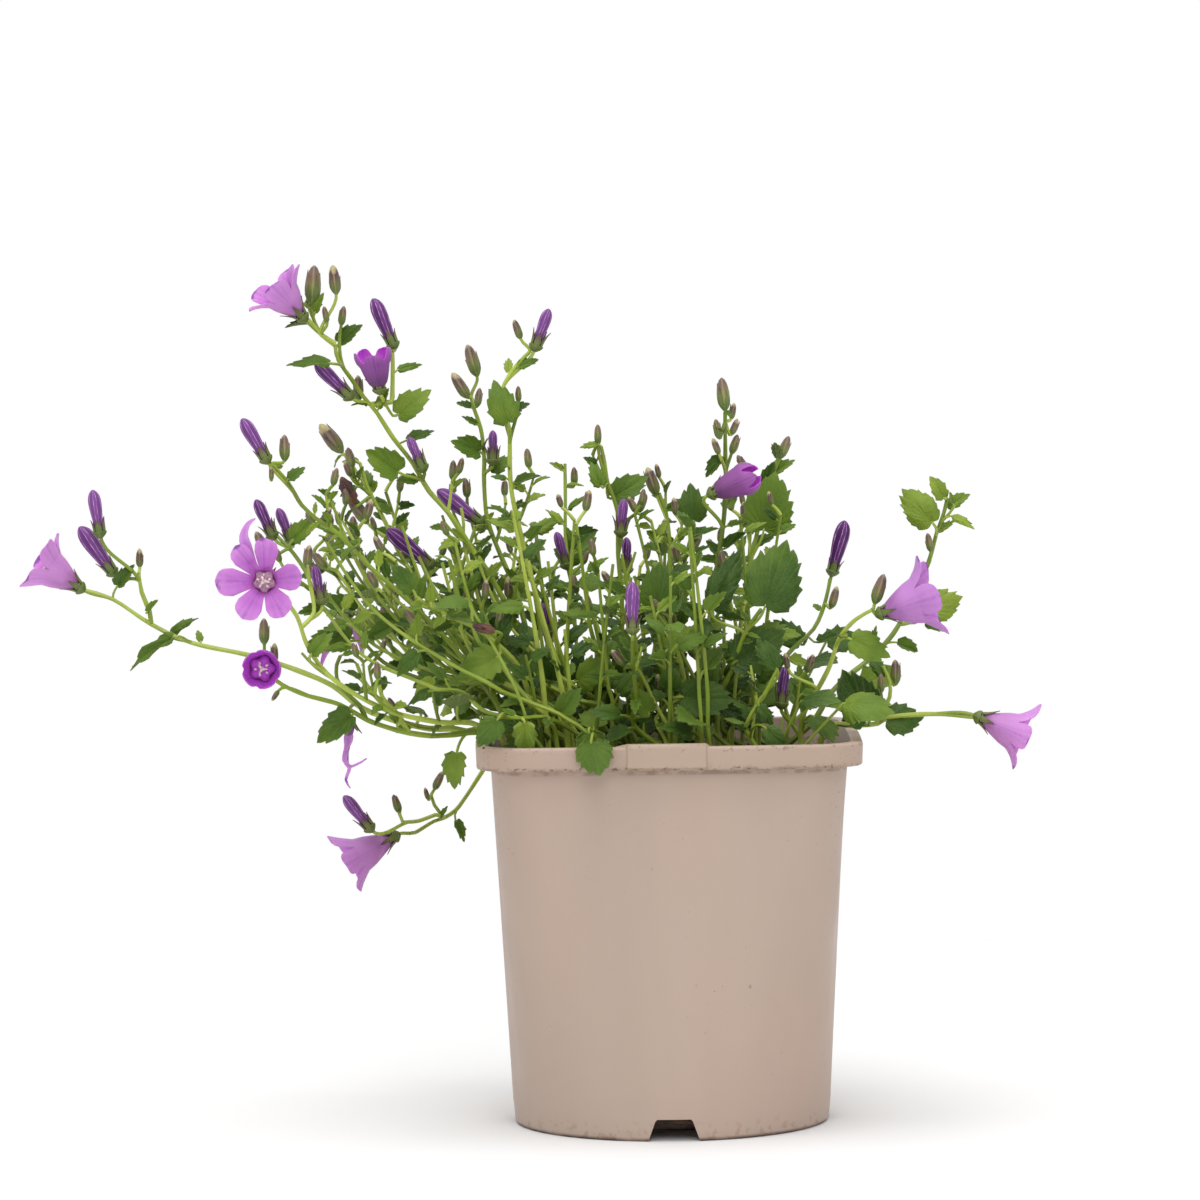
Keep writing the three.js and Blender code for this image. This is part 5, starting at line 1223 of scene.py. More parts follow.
for _ in range(UPRIGHT):
    x, y, rise = (mix(*span, lush()) for span in (UPRIGHT_X, UPRIGHT_Y, UPRIGHT_RISE))
    lean_x, lean_y = mix(-15, 9, lush()) + 0.1 * x, mix(-8, 10, lush()) + 0.25 * y
    thin_stem(cushion, [(x, y, SOIL_TOP + 0.5), (x + 0.2 * lean_x, y + 0.3 * lean_y, SOIL_TOP + 0.4 * rise),
                        (x + 0.7 * lean_x, y + 0.8 * lean_y, SOIL_TOP + 0.8 * rise),
                        (x + lean_x, y + lean_y, SOIL_TOP + rise)])
for _ in range(ARCHING):
    x, y, end, rise = (mix(*span, lush()) for span in (ARCHING_X, ARCHING_Y, ARCHING_END, ARCHING_RISE))
    thin_stem(arching, [(x, y, SOIL_TOP + 0.5), (mix(x, end, 0.12), y * 1.05, 127.5 + 3 * lush()),
                        (mix(x, end, 0.5), y * 1.2, 133 + 0.16 * rise),
                        (mix(x, end, 0.82), y * 1.3, 126 + 0.5 * rise), (end, y * 1.35, 128 + 0.78 * rise)])
print("thin stems:", len(cushion["twigs"]), "upright and", len(arching["twigs"]), "arching")

# %% [markdown]
# The photograph shows the flowers and violet buds free, so nothing small may grow in front of them. A point
# is carried to the plane of the pot's middle along its line of sight, which makes it two numbers; there we
# compare how far it lies from each flower's axis.

# %% What must stay in view
BUD_REACH, BELL_REACH = 3.4, 7.0


def seen_at(p):
    nearness = EYE[1] / (EYE[1] - p[1])
    return np.array([(p[0] - EYE[0]) * nearness, (p[2] - EYE[2]) * nearness])


shown = [(seen_at(base), seen_at(blend((base, 1), (axis, length))), base[1],
          BUD_REACH if openness is None else BELL_REACH)
         for plant in plants for _, base, axis, length, openness in plant["corollas"]]


def hides_a_flower(balls):
    for p, r in balls:
        here = seen_at(p)
        for foot, tip, depth, reach in shown:
            if p[1] < depth:
                share = min(1, max(0, np.dot(here - foot, tip - foot) / np.dot(tip - foot, tip - foot)))
                if np.linalg.norm(here - foot - share * (tip - foot)) < reach + r:
                    return True
    return False


print("flowers and violet buds to keep in view:", len(shown))

# %% [markdown]
# Small leaves stand close to the stem, narrow and folded upwards, and are younger and yellower than the big
# ones; those low in the middle of the bush get darker colours, which is painted shade. The stems at the lower
# left are nearly bare. A leaf without room is tried twice more, smaller each time.

# %% Small leaves
BARE_LEFT, BARE_BELOW, BARE_SHARE = -46, 152, 0.6
SHRINK, NARROW, BROAD, SMALL = (1.0, 0.8, 0.62), (0.44, 0.74), (0.6, 0.92), 9


def small_leaf(plant, at, way, out, petiole, length, tilt):
    if at[0] < BARE_LEFT and at[2] < BARE_BELOW and lush() < BARE_SHARE:
        return
    lead = unit(blend((way, 0.7), (out, 1), (UP, 0.3)))
    for shrink in SHRINK:
        base = blend((at, 1), (lead, petiole * shrink))
        along = unit(blend((out, 1), (UP, mix(-0.4, 0.6, tilt)), (way, 0.6)))
        tip = blend((base, 1), (along, length * shrink))
        leaf = leaf_frame(base, tip, blend((UP, 0.7), (FRONT, mix(0.2, 1.5, lush()))), 0.18)
        balls = [(p, 0.35 + 0.035 * length) for p, _ in blade_balls(leaf)]
        if is_clear(plant["node"], balls + [(base, 0.4)], FINE_CLEAR) and not hides_a_flower(balls):
            take(plant["node"], "blade", balls)
            leaf["slim"] = mix(*(NARROW if length < SMALL else BROAD), lush())
            # Painted shade: the lower and nearer the middle of the bush a small leaf stands, the darker its
            # colour span.
            painted_light_share = min(1, max(0, (base[2] - 125) / 45, (abs(base[0] + 5) - 25) / 35))
            leaf["age"] = (0.15 * painted_light_share, mix(0.4, 1.0, painted_light_share))
            plant["leaves"].append((leaf, short_stalk(at, base, way, 0.25 * petiole)))
            return


def short_stalk(at, end, way, bow):
    return [blend((at, 1 - t), (end, t), (way, bow * t * (1 - t))) for t in (0, 0.33, 0.66, 1)]


print("a stalk of 4 mm bows by", short_stalk((0, 0, 0), (4, 0, 0), UP, 1)[1][2], "mm")

# %% [markdown]
# Some stems bear a twig in a leaf's corner, with two to four leaves of its own and a bud at its tip. It
# leaves the stem sideways and bends upwards as it grows.


# %% Small buds and twigs
def small_bud(plant, at, way, out, length):
    axis = unit(blend((way, 0.8), (out, 0.55), (UP, 0.7)))
    foot = blend((at, 1), (unit(blend((way, 0.5), (out, 0.9), (UP, 0.3))), 3.2 + 3 * lush()))
    tip = blend((foot, 1), (axis, length))
    balls = balls_along([foot, tip], 0.19 * length)
    if is_clear(plant["node"], balls, FINE_CLEAR) and not hides_a_flower(balls):
        take(plant["node"], "stem", balls)
        plant["buds"].append((short_stalk(at, foot, way, 1.2), foot, tip))


def outward(way, a):
    return spoke(*square_to(way), a)[0]


def small_twig(plant, at, way, out, length):
    lead = unit(blend((way, 0.7), (out, 0.9), (UP, 0.6)))
    bend = unit(blend((lead, 1), (UP, 0.8)))
    n = max(4, round(length / 3))
    route = [at]
    for k in range(n):
        step = unit(blend((lead, 1 - k / n), (bend, k / n), (UP, 0.15 * lush())))
        route.append(blend((route[-1], 1), (step, length / n)))
    balls = balls_along(route[1:], 0.6)
    if not is_clear(plant["node"], balls, FINE_CLEAR):
        return
    take(plant["node"], "stem", balls)
    plant["twigs"].append((route, 0.62))
    turn = lush() * 6
    for k in range(1, n):
        way_here, share = unit(minus(route[k + 1], route[k])), k / n
        small_leaf(plant, route[k], way_here, outward(way_here, turn + k * GOLDEN), mix(3.5, 0.8, share),
                   mix(8.0, 4.0, share) * mix(0.8, 1.2, lush()), lush())
    small_bud(plant, route[-1], bend, outward(bend, turn), mix(4.5, 7, lush()))


print("joints of a twig of 15 mm:", max(4, round(15 / 3)))

# %% [markdown]
# Two of three steps along a thin stem bear a leaf, the largest near its foot, and every stem ends in a bud.

# %% Leaves on the thin stems
THIN_LEAFY = 0.68

for extra in (arching, cushion):
    for route, _ in extra["twigs"]:
        turn = 6 * lush()
        for k in range(3, len(route) - 1):
            way, share = unit(minus(route[k + 1], route[k])), k / len(route)
            here = outward(way, turn + k * GOLDEN)
            if lush() < THIN_LEAFY:
                small_leaf(extra, route[k], way, here, mix(6, 1.0, share),
                           mix(12.5, 6.0, share) * mix(0.75, 1.2, lush()), lush())
        small_bud(extra, route[-1], way, here, mix(4.5, 7, lush()))
print("leaves on thin stems:", len(cushion["leaves"]) + len(arching["leaves"]))

# %% [markdown]
# The thick stems are dressed in the same way. How leafy each is beside the fullest ones was judged from the
# photograph: the long ones that hang over the rim are nearly bare, and the heart of the plant is a thicket.

# %% Leaves along the thick stems
LEAFY = dict(far_left=0.1, cup_flower=0.3, low_left=0.0, tall_left=0.9, inner_left=0.95, bud_left=0.8,
             mid_left=0.9, front_flower=0.7, low_leafy=1.0, thick_left=1.0, upper_b=0.7,
             thin_centre=0.8, spike=0.8, right_bud=0.7, round_leaves=0.6, right_violet=0.3, right_flower=0.25,
             upright_shoot=0.25, far_right=0.0, front_rim=0.6, front_mid=0.6, back_violet=0.8, front_right=0.5)
OTHERWISE_LEAFY, THIN_OUT = 0.85, 0.5
HEART_LEFT, HEART_RIGHT, HEART_LOW, HEART_HIGH = -108, 42, 120, 206
LEAF_SPAN, STALK_SPAN, TWIG_SPAN = (14, 5.4), (9, 1.0), (20, 9)


def is_chosen(fullness, at):
    in_heart = HEART_LEFT < at[0] < HEART_RIGHT and HEART_LOW < at[2] < HEART_HIGH
    return lush() < fullness * (1.0 if in_heart else THIN_OUT)


for plant in plants:
    fullness = LEAFY.get(plant["spray"]["name"], OTHERWISE_LEAFY)
    for number, route in enumerate(plant["routes"]):
        high = len(route) - 1
        for i in range(3 if number == 0 else 1, high + 1):
            at = route[i]
            if at[2] < POT_HEIGHT - 2 and max(abs(at[0]), abs(at[1])) < RIM_HALF:
                continue
            t = i / high if number == 0 else mix(0.5, 1, i / high)
            way = unit(minus(at, route[i - 1]))
            a = i * GOLDEN + 6 * lush()
            length = mix(*LEAF_SPAN, t ** 0.8) * mix(0.75, 1.2, lush())
            petiole = mix(*STALK_SPAN, math.sqrt(t)) * mix(0.7, 1.3, lush())
            if is_chosen(fullness, at):
                small_leaf(plant, at, way, outward(way, a), petiole, length, lush())
            if i % 3 == 1 and 0.15 < t < 0.93 and is_chosen(fullness, at):
                small_twig(plant, at, way, outward(way, a + 2.2), mix(*TWIG_SPAN, t) * mix(0.7, 1.2, lush()))
print("leaves:", sum(len(p["leaves"]) for p in plants), "twigs:", sum(len(p["twigs"]) for p in plants),
      "green buds:", sum(len(p["buds"]) for p in plants))

# %% [markdown]
# Long-stalked leaves rise straight from the soil between the stems and fill the dark middle of the plant.
# Most of the places that we try are taken already.

# %% Leaves from the soil
SEEDS, SOIL_CLEAR, STALK_RADIUS = 150, 0.1, 0.5
SEED_X, SEED_Y, SEED_RISE = (-46, 40), (-42, 42), (14, 62)
rootings = 0

for _ in range(SEEDS):
    x, y = mix(*SEED_X, lush()), mix(*SEED_Y, lush())
    lean_x, lean_y = mix(-16, 12, lush()) + 0.22 * x, mix(-10, 8, lush()) + 0.15 * y
    rise = mix(*SEED_RISE, lush() ** 1.2)
    foot, mid = (x, y, SOIL_TOP + 0.5), (x + 0.3 * lean_x, y + 0.3 * lean_y, SOIL_TOP + 0.55 * rise)
    top = (x + lean_x, y + lean_y, SOIL_TOP + 6 + rise)
    route = smooth([foot, mid, top], 5)
    if not is_clear("cushion", balls_along(route[2:], STALK_RADIUS), SOIL_CLEAR):
        continue
    out = unit((lean_x + 4 * lush() - 2, lean_y - 7, 4 * lush()))
    length = mix(17, 11, min(1, rise / 55)) * mix(0.8, 1.15, lush())
    face = blend((UP, 0.8), (FRONT, mix(0.2, 1.4, lush())))
    leaf = leaf_frame(top, blend((top, 1), (out, length)), face, 0.15)
    balls = [(p, 0.4 + 0.035 * length) for p, _ in blade_balls(leaf)]
    if is_clear("cushion", balls, SOIL_CLEAR) and not hides_a_flower(balls):
        take("cushion", "blade", balls)
        take("cushion", "stem", balls_along(route, STALK_RADIUS))
        cushion["leaves"].append((leaf, route))
        rootings += 1
print("leaves from the soil:", rootings)

# %% [markdown]
# A bud and a flower have withered to brown, and one flower behind has wilted until only strips are left. Each
# gets a stalk like the others. A strip is its half width and points, as offsets from the flower's foot.

# %% What has withered
OLD_FOOT, OLD_TIP = (-54.0, -50.0, 160.5), (-60.8, -51.0, 162.4)
LIMP_FOOT, LIMP_AXIS = (-104.0, 38.0, 161.0), unit((-0.3, -0.5, -0.8))
LIMP_STRIPS = [(1.7, [(-3.5, -2, -2.8), (-4.5, -3, -5), (-4.3, -3, -8)]),
               (1.5, [(3.6, -2, -5), (5.0, -3, -8.5), (5.2, -3, -13.2)]),
               (1.3, [(-4, -1, -7), (-7, -2, -12), (-8.4, -3, -16.6)])]

by_name = {plant["spray"]["name"]: plant for plant in plants}
by_name["inner_left"]["withered"] = [by_name["inner_left"]["buds"].pop(2)]
old_way = stalk(by_name["thick_left"]["routes"], OLD_FOOT, unit(minus(OLD_TIP, OLD_FOOT)))[1]
by_name["thick_left"]["withered"] = [(old_way, OLD_FOOT, OLD_TIP)]
limp_way = stalk(by_name["low_leafy"]["routes"], LIMP_FOOT, LIMP_AXIS)[1]
by_name["low_leafy"]["cups"].append((limp_way, LIMP_FOOT, LIMP_AXIS, 4.5, 0.4, False))
print("withered:", sum(len(plant.get("withered", ())) for plant in plants), "and wilted: 1")

# %% [markdown]
# ## Finishes
# Every finish is a chain of shader nodes: noise for the uneven colour that living and moulded surfaces have,
# the three numbers in the mesh for veins, ribs and gradients, and a fine bump for the grain. Colours are
# written as a colour picker shows them and turned into the linear numbers that Blender expects. A finish
# starts with a ramp of colours and is then tinted, one layer after the other.


# %% A small kit for finishes
def paint(r, g, b):
    return tuple((c / 255 / 12.92) if c / 255 <= 0.04045 else ((c / 255 + 0.055) / 1.055) ** 2.4
                 for c in (r, g, b)) + (1.0,)


class Finish:
    def __init__(self, name, roughness, gloss=0.5):
        self.material, self.nodes, self.links, self.skin = new_material(name)
        self.skin.inputs["Roughness"].default_value = roughness
        self.skin.inputs["Specular IOR Level"].default_value = gloss
        self.place = self.nodes.new("ShaderNodeTexCoord").outputs["Object"]

    def node(self, kind, inputs, **settings):
        # A node with its settings; each input is another node's output or a plain value.
        node = self.nodes.new("ShaderNode" + kind)
        for key, value in settings.items():
            setattr(node, key, value)
        for key, value in inputs.items():
            if isinstance(value, bpy.types.NodeSocket):
                self.links.new(value, node.inputs[key])
            else:
                node.inputs[key].default_value = value
        return node

    def number(self, key):
        return self.node("Attribute", {}, attribute_name=key).outputs["Fac"]

    def noise(self, scale, detail=3.0, stretch=None):
        place = self.place
        if stretch:
            place = self.node("Mapping", {"Vector": place, "Scale": stretch}).outputs["Vector"]
        return self.node("TexNoise", {"Scale": scale, "Detail": detail, "Vector": place}).outputs["Fac"]

    def net(self, scale):
        return self.node("TexVoronoi", {"Scale": scale, "Vector": self.place},
                         feature="DISTANCE_TO_EDGE").outputs["Distance"]

    def calc(self, operation, a, b=0.0, clamp=False):
        return self.node("Math", {0: a, 1: b}, operation=operation, use_clamp=clamp).outputs[0]

    def span(self, value, low, high, start=0.0, end=1.0):
        return self.node("MapRange", {"Value": value, "From Min": low, "From Max": high, "To Min": start,
                                      "To Max": end}).outputs["Result"]

    def patchy(self, scale, detail, low, high, start=0.0, end=1.0, stretch=None):
        return self.span(self.noise(scale, detail, stretch), low, high, start, end)

    def uneven(self, scale, detail, share, tone_share):
        # Noise, and the tone that differs from leaf to leaf.
        return self.calc("ADD", self.calc("MULTIPLY", self.noise(scale, detail), share),
                         self.calc("MULTIPLY", self.number("tone"), tone_share))

    def wear(self, colour):
        self.base = colour
        self.links.new(colour, self.skin.inputs["Base Color"])

    def ramp(self, value, *stops):
        node = self.node("ValToRGB", {"Fac": value})
        marks = node.color_ramp.elements
        while len(marks) < len(stops):
            marks.new(0.5)
        for mark, (place, *colour) in zip(marks, stops):
            mark.position, mark.color = place, paint(*colour)
        self.wear(node.outputs["Color"])

    def tint(self, share, *colour):
        mixer = self.node("Mix", {}, data_type="RGBA", blend_type="MIX")
        self.links.new(share, mixer.inputs[0])
        self.links.new(self.base, mixer.inputs[6])
        mixer.inputs[7].default_value = paint(*colour)
        self.wear(mixer.outputs[2])

    def bump(self, height, strength, depth):
        node = self.node("Bump", {"Strength": strength, "Distance": depth, "Height": height})
        self.links.new(node.outputs["Normal"], self.skin.inputs["Normal"])

    def glow_through(self, share):
        # Light from behind shines through a thin skin in its own colour.
        through = self.node("BsdfTranslucent", {"Color": self.base})
        both = self.node("MixShader", {0: share, 1: self.skin.outputs[0], 2: through.outputs[0]})
        self.links.new(both.outputs[0], self.nodes["Material Output"].inputs["Surface"])


print("pot taupe in linear numbers:", [round(c, 3) for c in paint(193, 173, 158)])

# %% [markdown]
# A leaf's top is glossier and darker than its underside. Old leaves are deep green and young ones yellower,
# so the colour follows each leaf's own tone; then come pale veins, the fine net between them, and a faint
# light edge. Thin leaves also glow a little with the light behind them.

# %% Leaf finishes
NET, LEAF_GLOW = 620, 0.36

top = leaf_top = Finish("leaf_top", 0.5, 0.3)
top.ramp(top.uneven(90, 4, 0.5, 0.72), (0.2, 32, 62, 12), (0.42, 70, 102, 34), (0.7, 112, 142, 44),
         (1.0, 168, 188, 70))
top.tint(top.span(top.number("line"), 0.6, 1.0, 0.0, 0.26), 128, 156, 76)
top.tint(top.span(top.net(NET), 0.0, 0.12, 0.14, 0.0), 124, 152, 66)
top.tint(top.span(top.number("along"), 0.94, 1.0, 0.0, 0.3), 138, 152, 88)
top.bump(top.calc("ADD", top.net(NET), top.noise(1500, 2)), 0.4, 0.0003)
top.glow_through(LEAF_GLOW)

under = leaf_under = Finish("leaf_under", 0.65, 0.25)
under.ramp(under.uneven(120, 3, 0.4, 0.6), (0.15, 92, 110, 52), (0.6, 118, 138, 72), (1.0, 150, 170, 92))
under.tint(under.span(under.number("line"), 0.5, 1.0, 0.0, 0.6), 160, 172, 116)
under.bump(under.net(NET), 0.3, 0.0003)
under.glow_through(LEAF_GLOW)
print("a leaf's top has", len(top.nodes), "nodes and its underside", len(under.nodes))

# %% [markdown]
# Stems and stalks are a light yellow-green that turns brownish where they are old. Buds start green and end
# in a brown-purple tip; the cups under the flowers stay green, with darker ribs.

# %% Stem, bud and cup finishes
stem_green = Finish("stem_green", 0.5)
stem_green.ramp(stem_green.uneven(70, 3, 0.6, 0.5), (0.2, 88, 108, 24), (0.5, 126, 148, 38),
                (0.9, 174, 188, 80))
stem_green.tint(stem_green.patchy(160, 4, 0.56, 0.72, 0.0, 0.35), 132, 112, 74)
stem_green.bump(stem_green.noise(900, 3, (1, 1, 0.2)), 0.3, 0.0002)


def bud_finish(name, rib, *stops):
    finish = Finish(name, 0.5)
    place = finish.calc("ADD", finish.number("along"),
                        finish.calc("MULTIPLY", finish.calc("SUBTRACT", finish.number("tone"), 0.5), 0.4))
    finish.ramp(finish.calc("ADD", place, finish.patchy(500, 3, 0.3, 0.7, -0.1, 0.1), clamp=True), *stops)
    finish.tint(finish.span(finish.number("line"), 0.6, 1.0, 0.0, 0.35), *rib)
    finish.bump(finish.noise(1400, 2), 0.35, 0.0002)
    return finish


bud_green = bud_finish("bud_green", (164, 156, 110), (0.0, 98, 120, 42), (0.3, 122, 124, 70),
                       (0.5, 120, 102, 76), (0.85, 98, 76, 72), (1.0, 168, 156, 112))
cup_green = bud_finish("cup_green", (128, 132, 82), (0.0, 86, 106, 40), (0.35, 98, 108, 50),
                       (0.65, 96, 86, 58), (1.0, 84, 54, 62))
withered_brown = bud_finish("withered_brown", (140, 98, 66), (0.0, 96, 64, 40), (0.4, 84, 44, 30),
                            (0.8, 58, 34, 36), (1.0, 112, 74, 52))
print("green finishes:", [f.material.name for f in (stem_green, bud_green, cup_green, withered_brown)])

# %% [markdown]
# The petals are violet with a thin silvery bloom: darker and redder in the tube, lighter and pinker on the
# lobes, darker again at their tips, with a fine darker vein along each lobe. Inside, the tube is pale towards
# its foot, partly its own paler colour and partly painted light against its shade; the inside of a cup is
# painted lighter than its violet, as painted light against the shade in the cup.


# %% Petal finishes
def petal_finish(name, vein, glow, *stops):
    finish = Finish(name, 0.55)
    finish.ramp(finish.calc("ADD", finish.number("along"), finish.patchy(220, 4, 0.3, 0.7, -0.09, 0.09),
                            clamp=True), *stops)
    streaks = finish.patchy(700, 2, 0.3, 0.7, 0.2, 0.55)
    finish.tint(finish.calc("MULTIPLY", finish.number("line"), streaks), *vein)
    finish.tint(finish.span(finish.number("tone"), 0.0, 1.0, 0.0, 0.16), 120, 70, 190)
    finish.bump(finish.noise(1700, 3), 0.3, 0.0002)
    finish.skin.inputs["Sheen Weight"].default_value = 0.15
    finish.glow_through(glow)
    return finish


petal_out = petal_finish("petal_out", (176, 104, 196), 0.3, (0.0, 166, 106, 166), (0.3, 210, 146, 214),
                         (0.6, 222, 160, 226), (0.95, 226, 164, 230), (1.0, 158, 98, 184))
# Pale towards the foot of the tube: partly the throat's own colour, partly painted light against the shade in
# the tube.
petal_in = petal_finish("petal_in", (172, 84, 190), 0.5, (0.0, 250, 226, 216), (0.3, 240, 190, 218),
                        (0.5, 206, 112, 208), (0.62, 220, 142, 224), (0.96, 242, 178, 242),
                        (1.0, 176, 104, 196))
petal_young = petal_finish("petal_young", (88, 30, 112), 0.3, (0.0, 112, 62, 112), (0.3, 146, 80, 150),
                           (0.6, 158, 88, 164), (1.0, 176, 102, 180))
# Painted light: lighter than the real violet, and pale towards the foot, against the shade inside the cup.
petal_cup = petal_finish("petal_cup", (190, 70, 214), 0.5, (0.0, 236, 210, 206), (0.3, 236, 160, 220),
                         (0.45, 232, 96, 240), (1.0, 240, 118, 250))
print("petal finishes:", [f.material.name for f in (petal_out, petal_in, petal_young, petal_cup)])

# %% [markdown]
# The style is pale and rough with short hairs, and the hairs in the throat are paler still. A closed bud
# shows pale ribs and deep violet furrows, and is greenish at its foot.

# %% Finishes of styles and violet buds
style_pale = Finish("style_pale", 0.6)
style_pale.ramp(style_pale.noise(1400, 3), (0.35, 188, 158, 160), (0.65, 240, 226, 226))
style_pale.bump(style_pale.noise(2500, 2), 0.6, 0.0003)

throat_hair = Finish("throat_hair", 0.9)
throat_hair.ramp(throat_hair.noise(2200, 4), (0.3, 196, 132, 186), (0.7, 250, 220, 226))
throat_hair.bump(throat_hair.noise(3200, 3), 0.8, 0.0005)
throat_hair.glow_through(0.5)

violet = bud_violet = Finish("bud_violet", 0.5, 0.3)
violet.ramp(violet.calc("ADD", violet.patchy(300, 4, 0.3, 0.7, -0.1, 0.12), violet.number("line")),
            (0.0, 54, 12, 68), (0.3, 94, 34, 110), (0.68, 150, 90, 162), (0.95, 222, 196, 224))
violet.tint(violet.span(violet.number("along"), 0.0, 0.2, 0.5, 0.0), 108, 92, 84)
violet.tint(violet.span(violet.number("tone"), 0, 1, 0.0, 0.36), 164, 106, 184)
violet.bump(violet.noise(1500, 3), 0.35, 0.0002)
print("a violet bud's finish has", len(violet.nodes), "nodes")

# %% [markdown]
# The pot is thin moulded plastic in warm taupe, satin and a little streaky up and down, with fine grain and
# faint smears from handling.

# %% The pot's plastic
plastic = Finish("pot_plastic", 0.5)
plastic.ramp(plastic.calc("ADD", plastic.calc("MULTIPLY", plastic.noise(9, 4, (1, 1, 0.25)), 0.7),
                          plastic.calc("MULTIPLY", plastic.noise(60, 5, (1, 1, 0.12)), 0.3)),
             (0.3, 168, 148, 134), (0.7, 178, 158, 144))
plastic.tint(plastic.patchy(30, 6, 0.55, 0.8, 0.0, 0.3, (1, 1, 0.5)), 178, 150, 130)
plastic.tint(plastic.patchy(16, 4, 0.52, 0.72, 0.0, 0.35), 182, 152, 140)
plastic.links.new(plastic.patchy(40, 4, 0.3, 0.7, 0.42, 0.58), plastic.skin.inputs["Roughness"])
plastic.bump(plastic.noise(1300, 4), 0.12, 0.0003)
print("bare plastic has", len(plastic.nodes), "nodes")

# %% [markdown]
# Watering has left soil in specks near the corners and along the foot. The dark line under the rim is partly
# soil and partly painted shade, and the rim above it is a little darker and browner in patches. A band of
# height or width picks each place, and noise breaks it up. The two faint creases down the rim beside its tab
# are painted as darker lines, which is painted shade.

# %% Dirt and painted shade on the pot
TAB_LEFT, TAB_RIGHT = -13.3, 11.4
from_left, from_front, height = plastic.node("SeparateXYZ", {"Vector": plastic.place}).outputs


def band(value, low, high, soft):
    # One between low and high, fading to nought over the distance "soft" on each side.
    return plastic.calc("MULTIPLY", plastic.span(value, low - soft, low),
                        plastic.span(value, high, high + soft, 1.0, 0.0))


EVERYWHERE = plastic.patchy(22, 3, 0.54, 0.68, 0.0, 0.8)
UNDER_RIM = plastic.span(height, 0.1170, 0.1174)
AT_CORNERS = plastic.span(plastic.calc("ABSOLUTE", from_left), 0.046, 0.062)
# The place, the scale of the noise, where it starts and is full, its strength, and the colour.
for mask, scale, low, high, share, *colour in (
        (EVERYWHERE, 600, 0.68, 0.75, 0.9, 112, 82, 60),
        (UNDER_RIM, 26, 0.1, 0.7, 0.6, 160, 136, 114),
        # The rim's lower edge: a dark line, partly soil and partly painted shade.
        (band(height, 0.1158, 0.1177, 0.0006), 240, 0.42, 0.6, 0.5, 112, 84, 62),
        (band(height, 0.1171, 0.1180, 0.0006), 800, 0.56, 0.64, 0.8, 76, 50, 36),
        (band(height, 0.1232, 0.1250, 0.0006), 700, 0.6, 0.66, 0.6, 120, 88, 66),
        (AT_CORNERS, 900, 0.655, 0.69, 0.8, 88, 62, 46),
        (plastic.span(height, 0.0, 0.007, 1.0, 0.0), 420, 0.54, 0.64, 0.5, 124, 92, 68),
        (plastic.span(height, 0.0004, 0.0014, 1.0, 0.0), 90, 0.2, 0.5, 0.85, 70, 46, 34)):
    plastic.tint(plastic.calc("MULTIPLY", mask, plastic.patchy(scale, 5, low, high, 0.0, share)), *colour)
# Painted shade: darker lines down the two creases beside the rim's tab.
on_front = plastic.calc("MULTIPLY", plastic.span(height, 0.1172, 0.1178),
                        plastic.span(from_front, -0.0585, -0.058, 1.0, 0.0))
for crease in (TAB_LEFT * MM, TAB_RIGHT * MM):
    mask = plastic.calc("MULTIPLY", on_front, band(from_left, crease - 0.0001, crease + 0.0001, 0.0003))
    plastic.tint(plastic.calc("MULTIPLY", mask, 0.35), 118, 96, 78)
print("with its dirt it has", len(plastic.nodes))

# %% [markdown]
# The soil is dark fibrous peat: almost black when moist, with brown crumbs, and quite matt. Each point of its
# mesh has a tone of its own, so neighbouring lumps differ.

# %% The soil's finish
peat = Finish("peat", 0.95)
peat.ramp(peat.uneven(260, 8, 0.7, 0.3), (0.3, 30, 20, 13), (0.55, 62, 42, 28), (0.8, 112, 84, 60))
peat.bump(peat.noise(700, 8), 0.9, 0.001)
print("materials:", len(bpy.data.materials))

# %% [markdown]
# ## The pot
# The pot has a square mouth on a round foot. Every ring of its wall has the same number of points, and each
# is a mix of a circle and a rounded square with slightly bowed sides.

# %% Rings of the pot
CORNER, SIDE_BOW, FOOT, FLAT = 14.0, 0.7, 50.6, 46.2
SIDE_AT = (42, 36, 30, 24, 18, 13.9, 13.3, 12.0, 11.4, 6, 0)
SIDE_AT = SIDE_AT + tuple(-x for x in SIDE_AT[-2::-1])
CORNER_STEPS = 16


def pot_ring(z, square, half, round_radius):
    flat, ring = half - CORNER, []
    count = CORNER_STEPS + 1 + len(SIDE_AT)
    for q in range(4):
        turn = q * math.pi / 2
        for k in range(count):
            if k <= CORNER_STEPS:
                a = math.pi / 2 * k / CORNER_STEPS
                x, y = flat + CORNER * math.cos(a), flat + CORNER * math.sin(a)
                round_a = math.pi / 4 + (k - CORNER_STEPS / 2) * (math.pi / 4 / CORNER_STEPS)
            else:
                x = SIDE_AT[k - CORNER_STEPS - 1] * flat / FLAT
                along = (1 - x / flat) / 2
                y = half + SIDE_BOW * math.sin(math.pi * along)
                round_a = math.pi * 3 / 8 + math.pi / 4 * along
            x = mix(round_radius * math.cos(round_a), x, square)
            y = mix(round_radius * math.sin(round_a), y, square)
            ring.append((x * math.cos(turn) - y * math.sin(turn), x * math.sin(turn) + y * math.cos(turn), z))
    return ring


def wall_ring(z, out):
    return pot_ring(z, z / POT_HEIGHT, RIM_HALF - RIM_LIP + 0.3 + out, FOOT + out)


def disc_ring(z, radius):
    return pot_ring(z, 0, RIM_HALF, radius)


print("points in a ring:", len(disc_ring(0, 1)))

# %% [markdown]
# The profile runs from the middle of the underside, round the foot, up the wall, over the rim and down inside
# to the floor. Two points close together keep an edge crisp, and a few in a small arc round it off. The rim's
# front has a slightly proud tab.

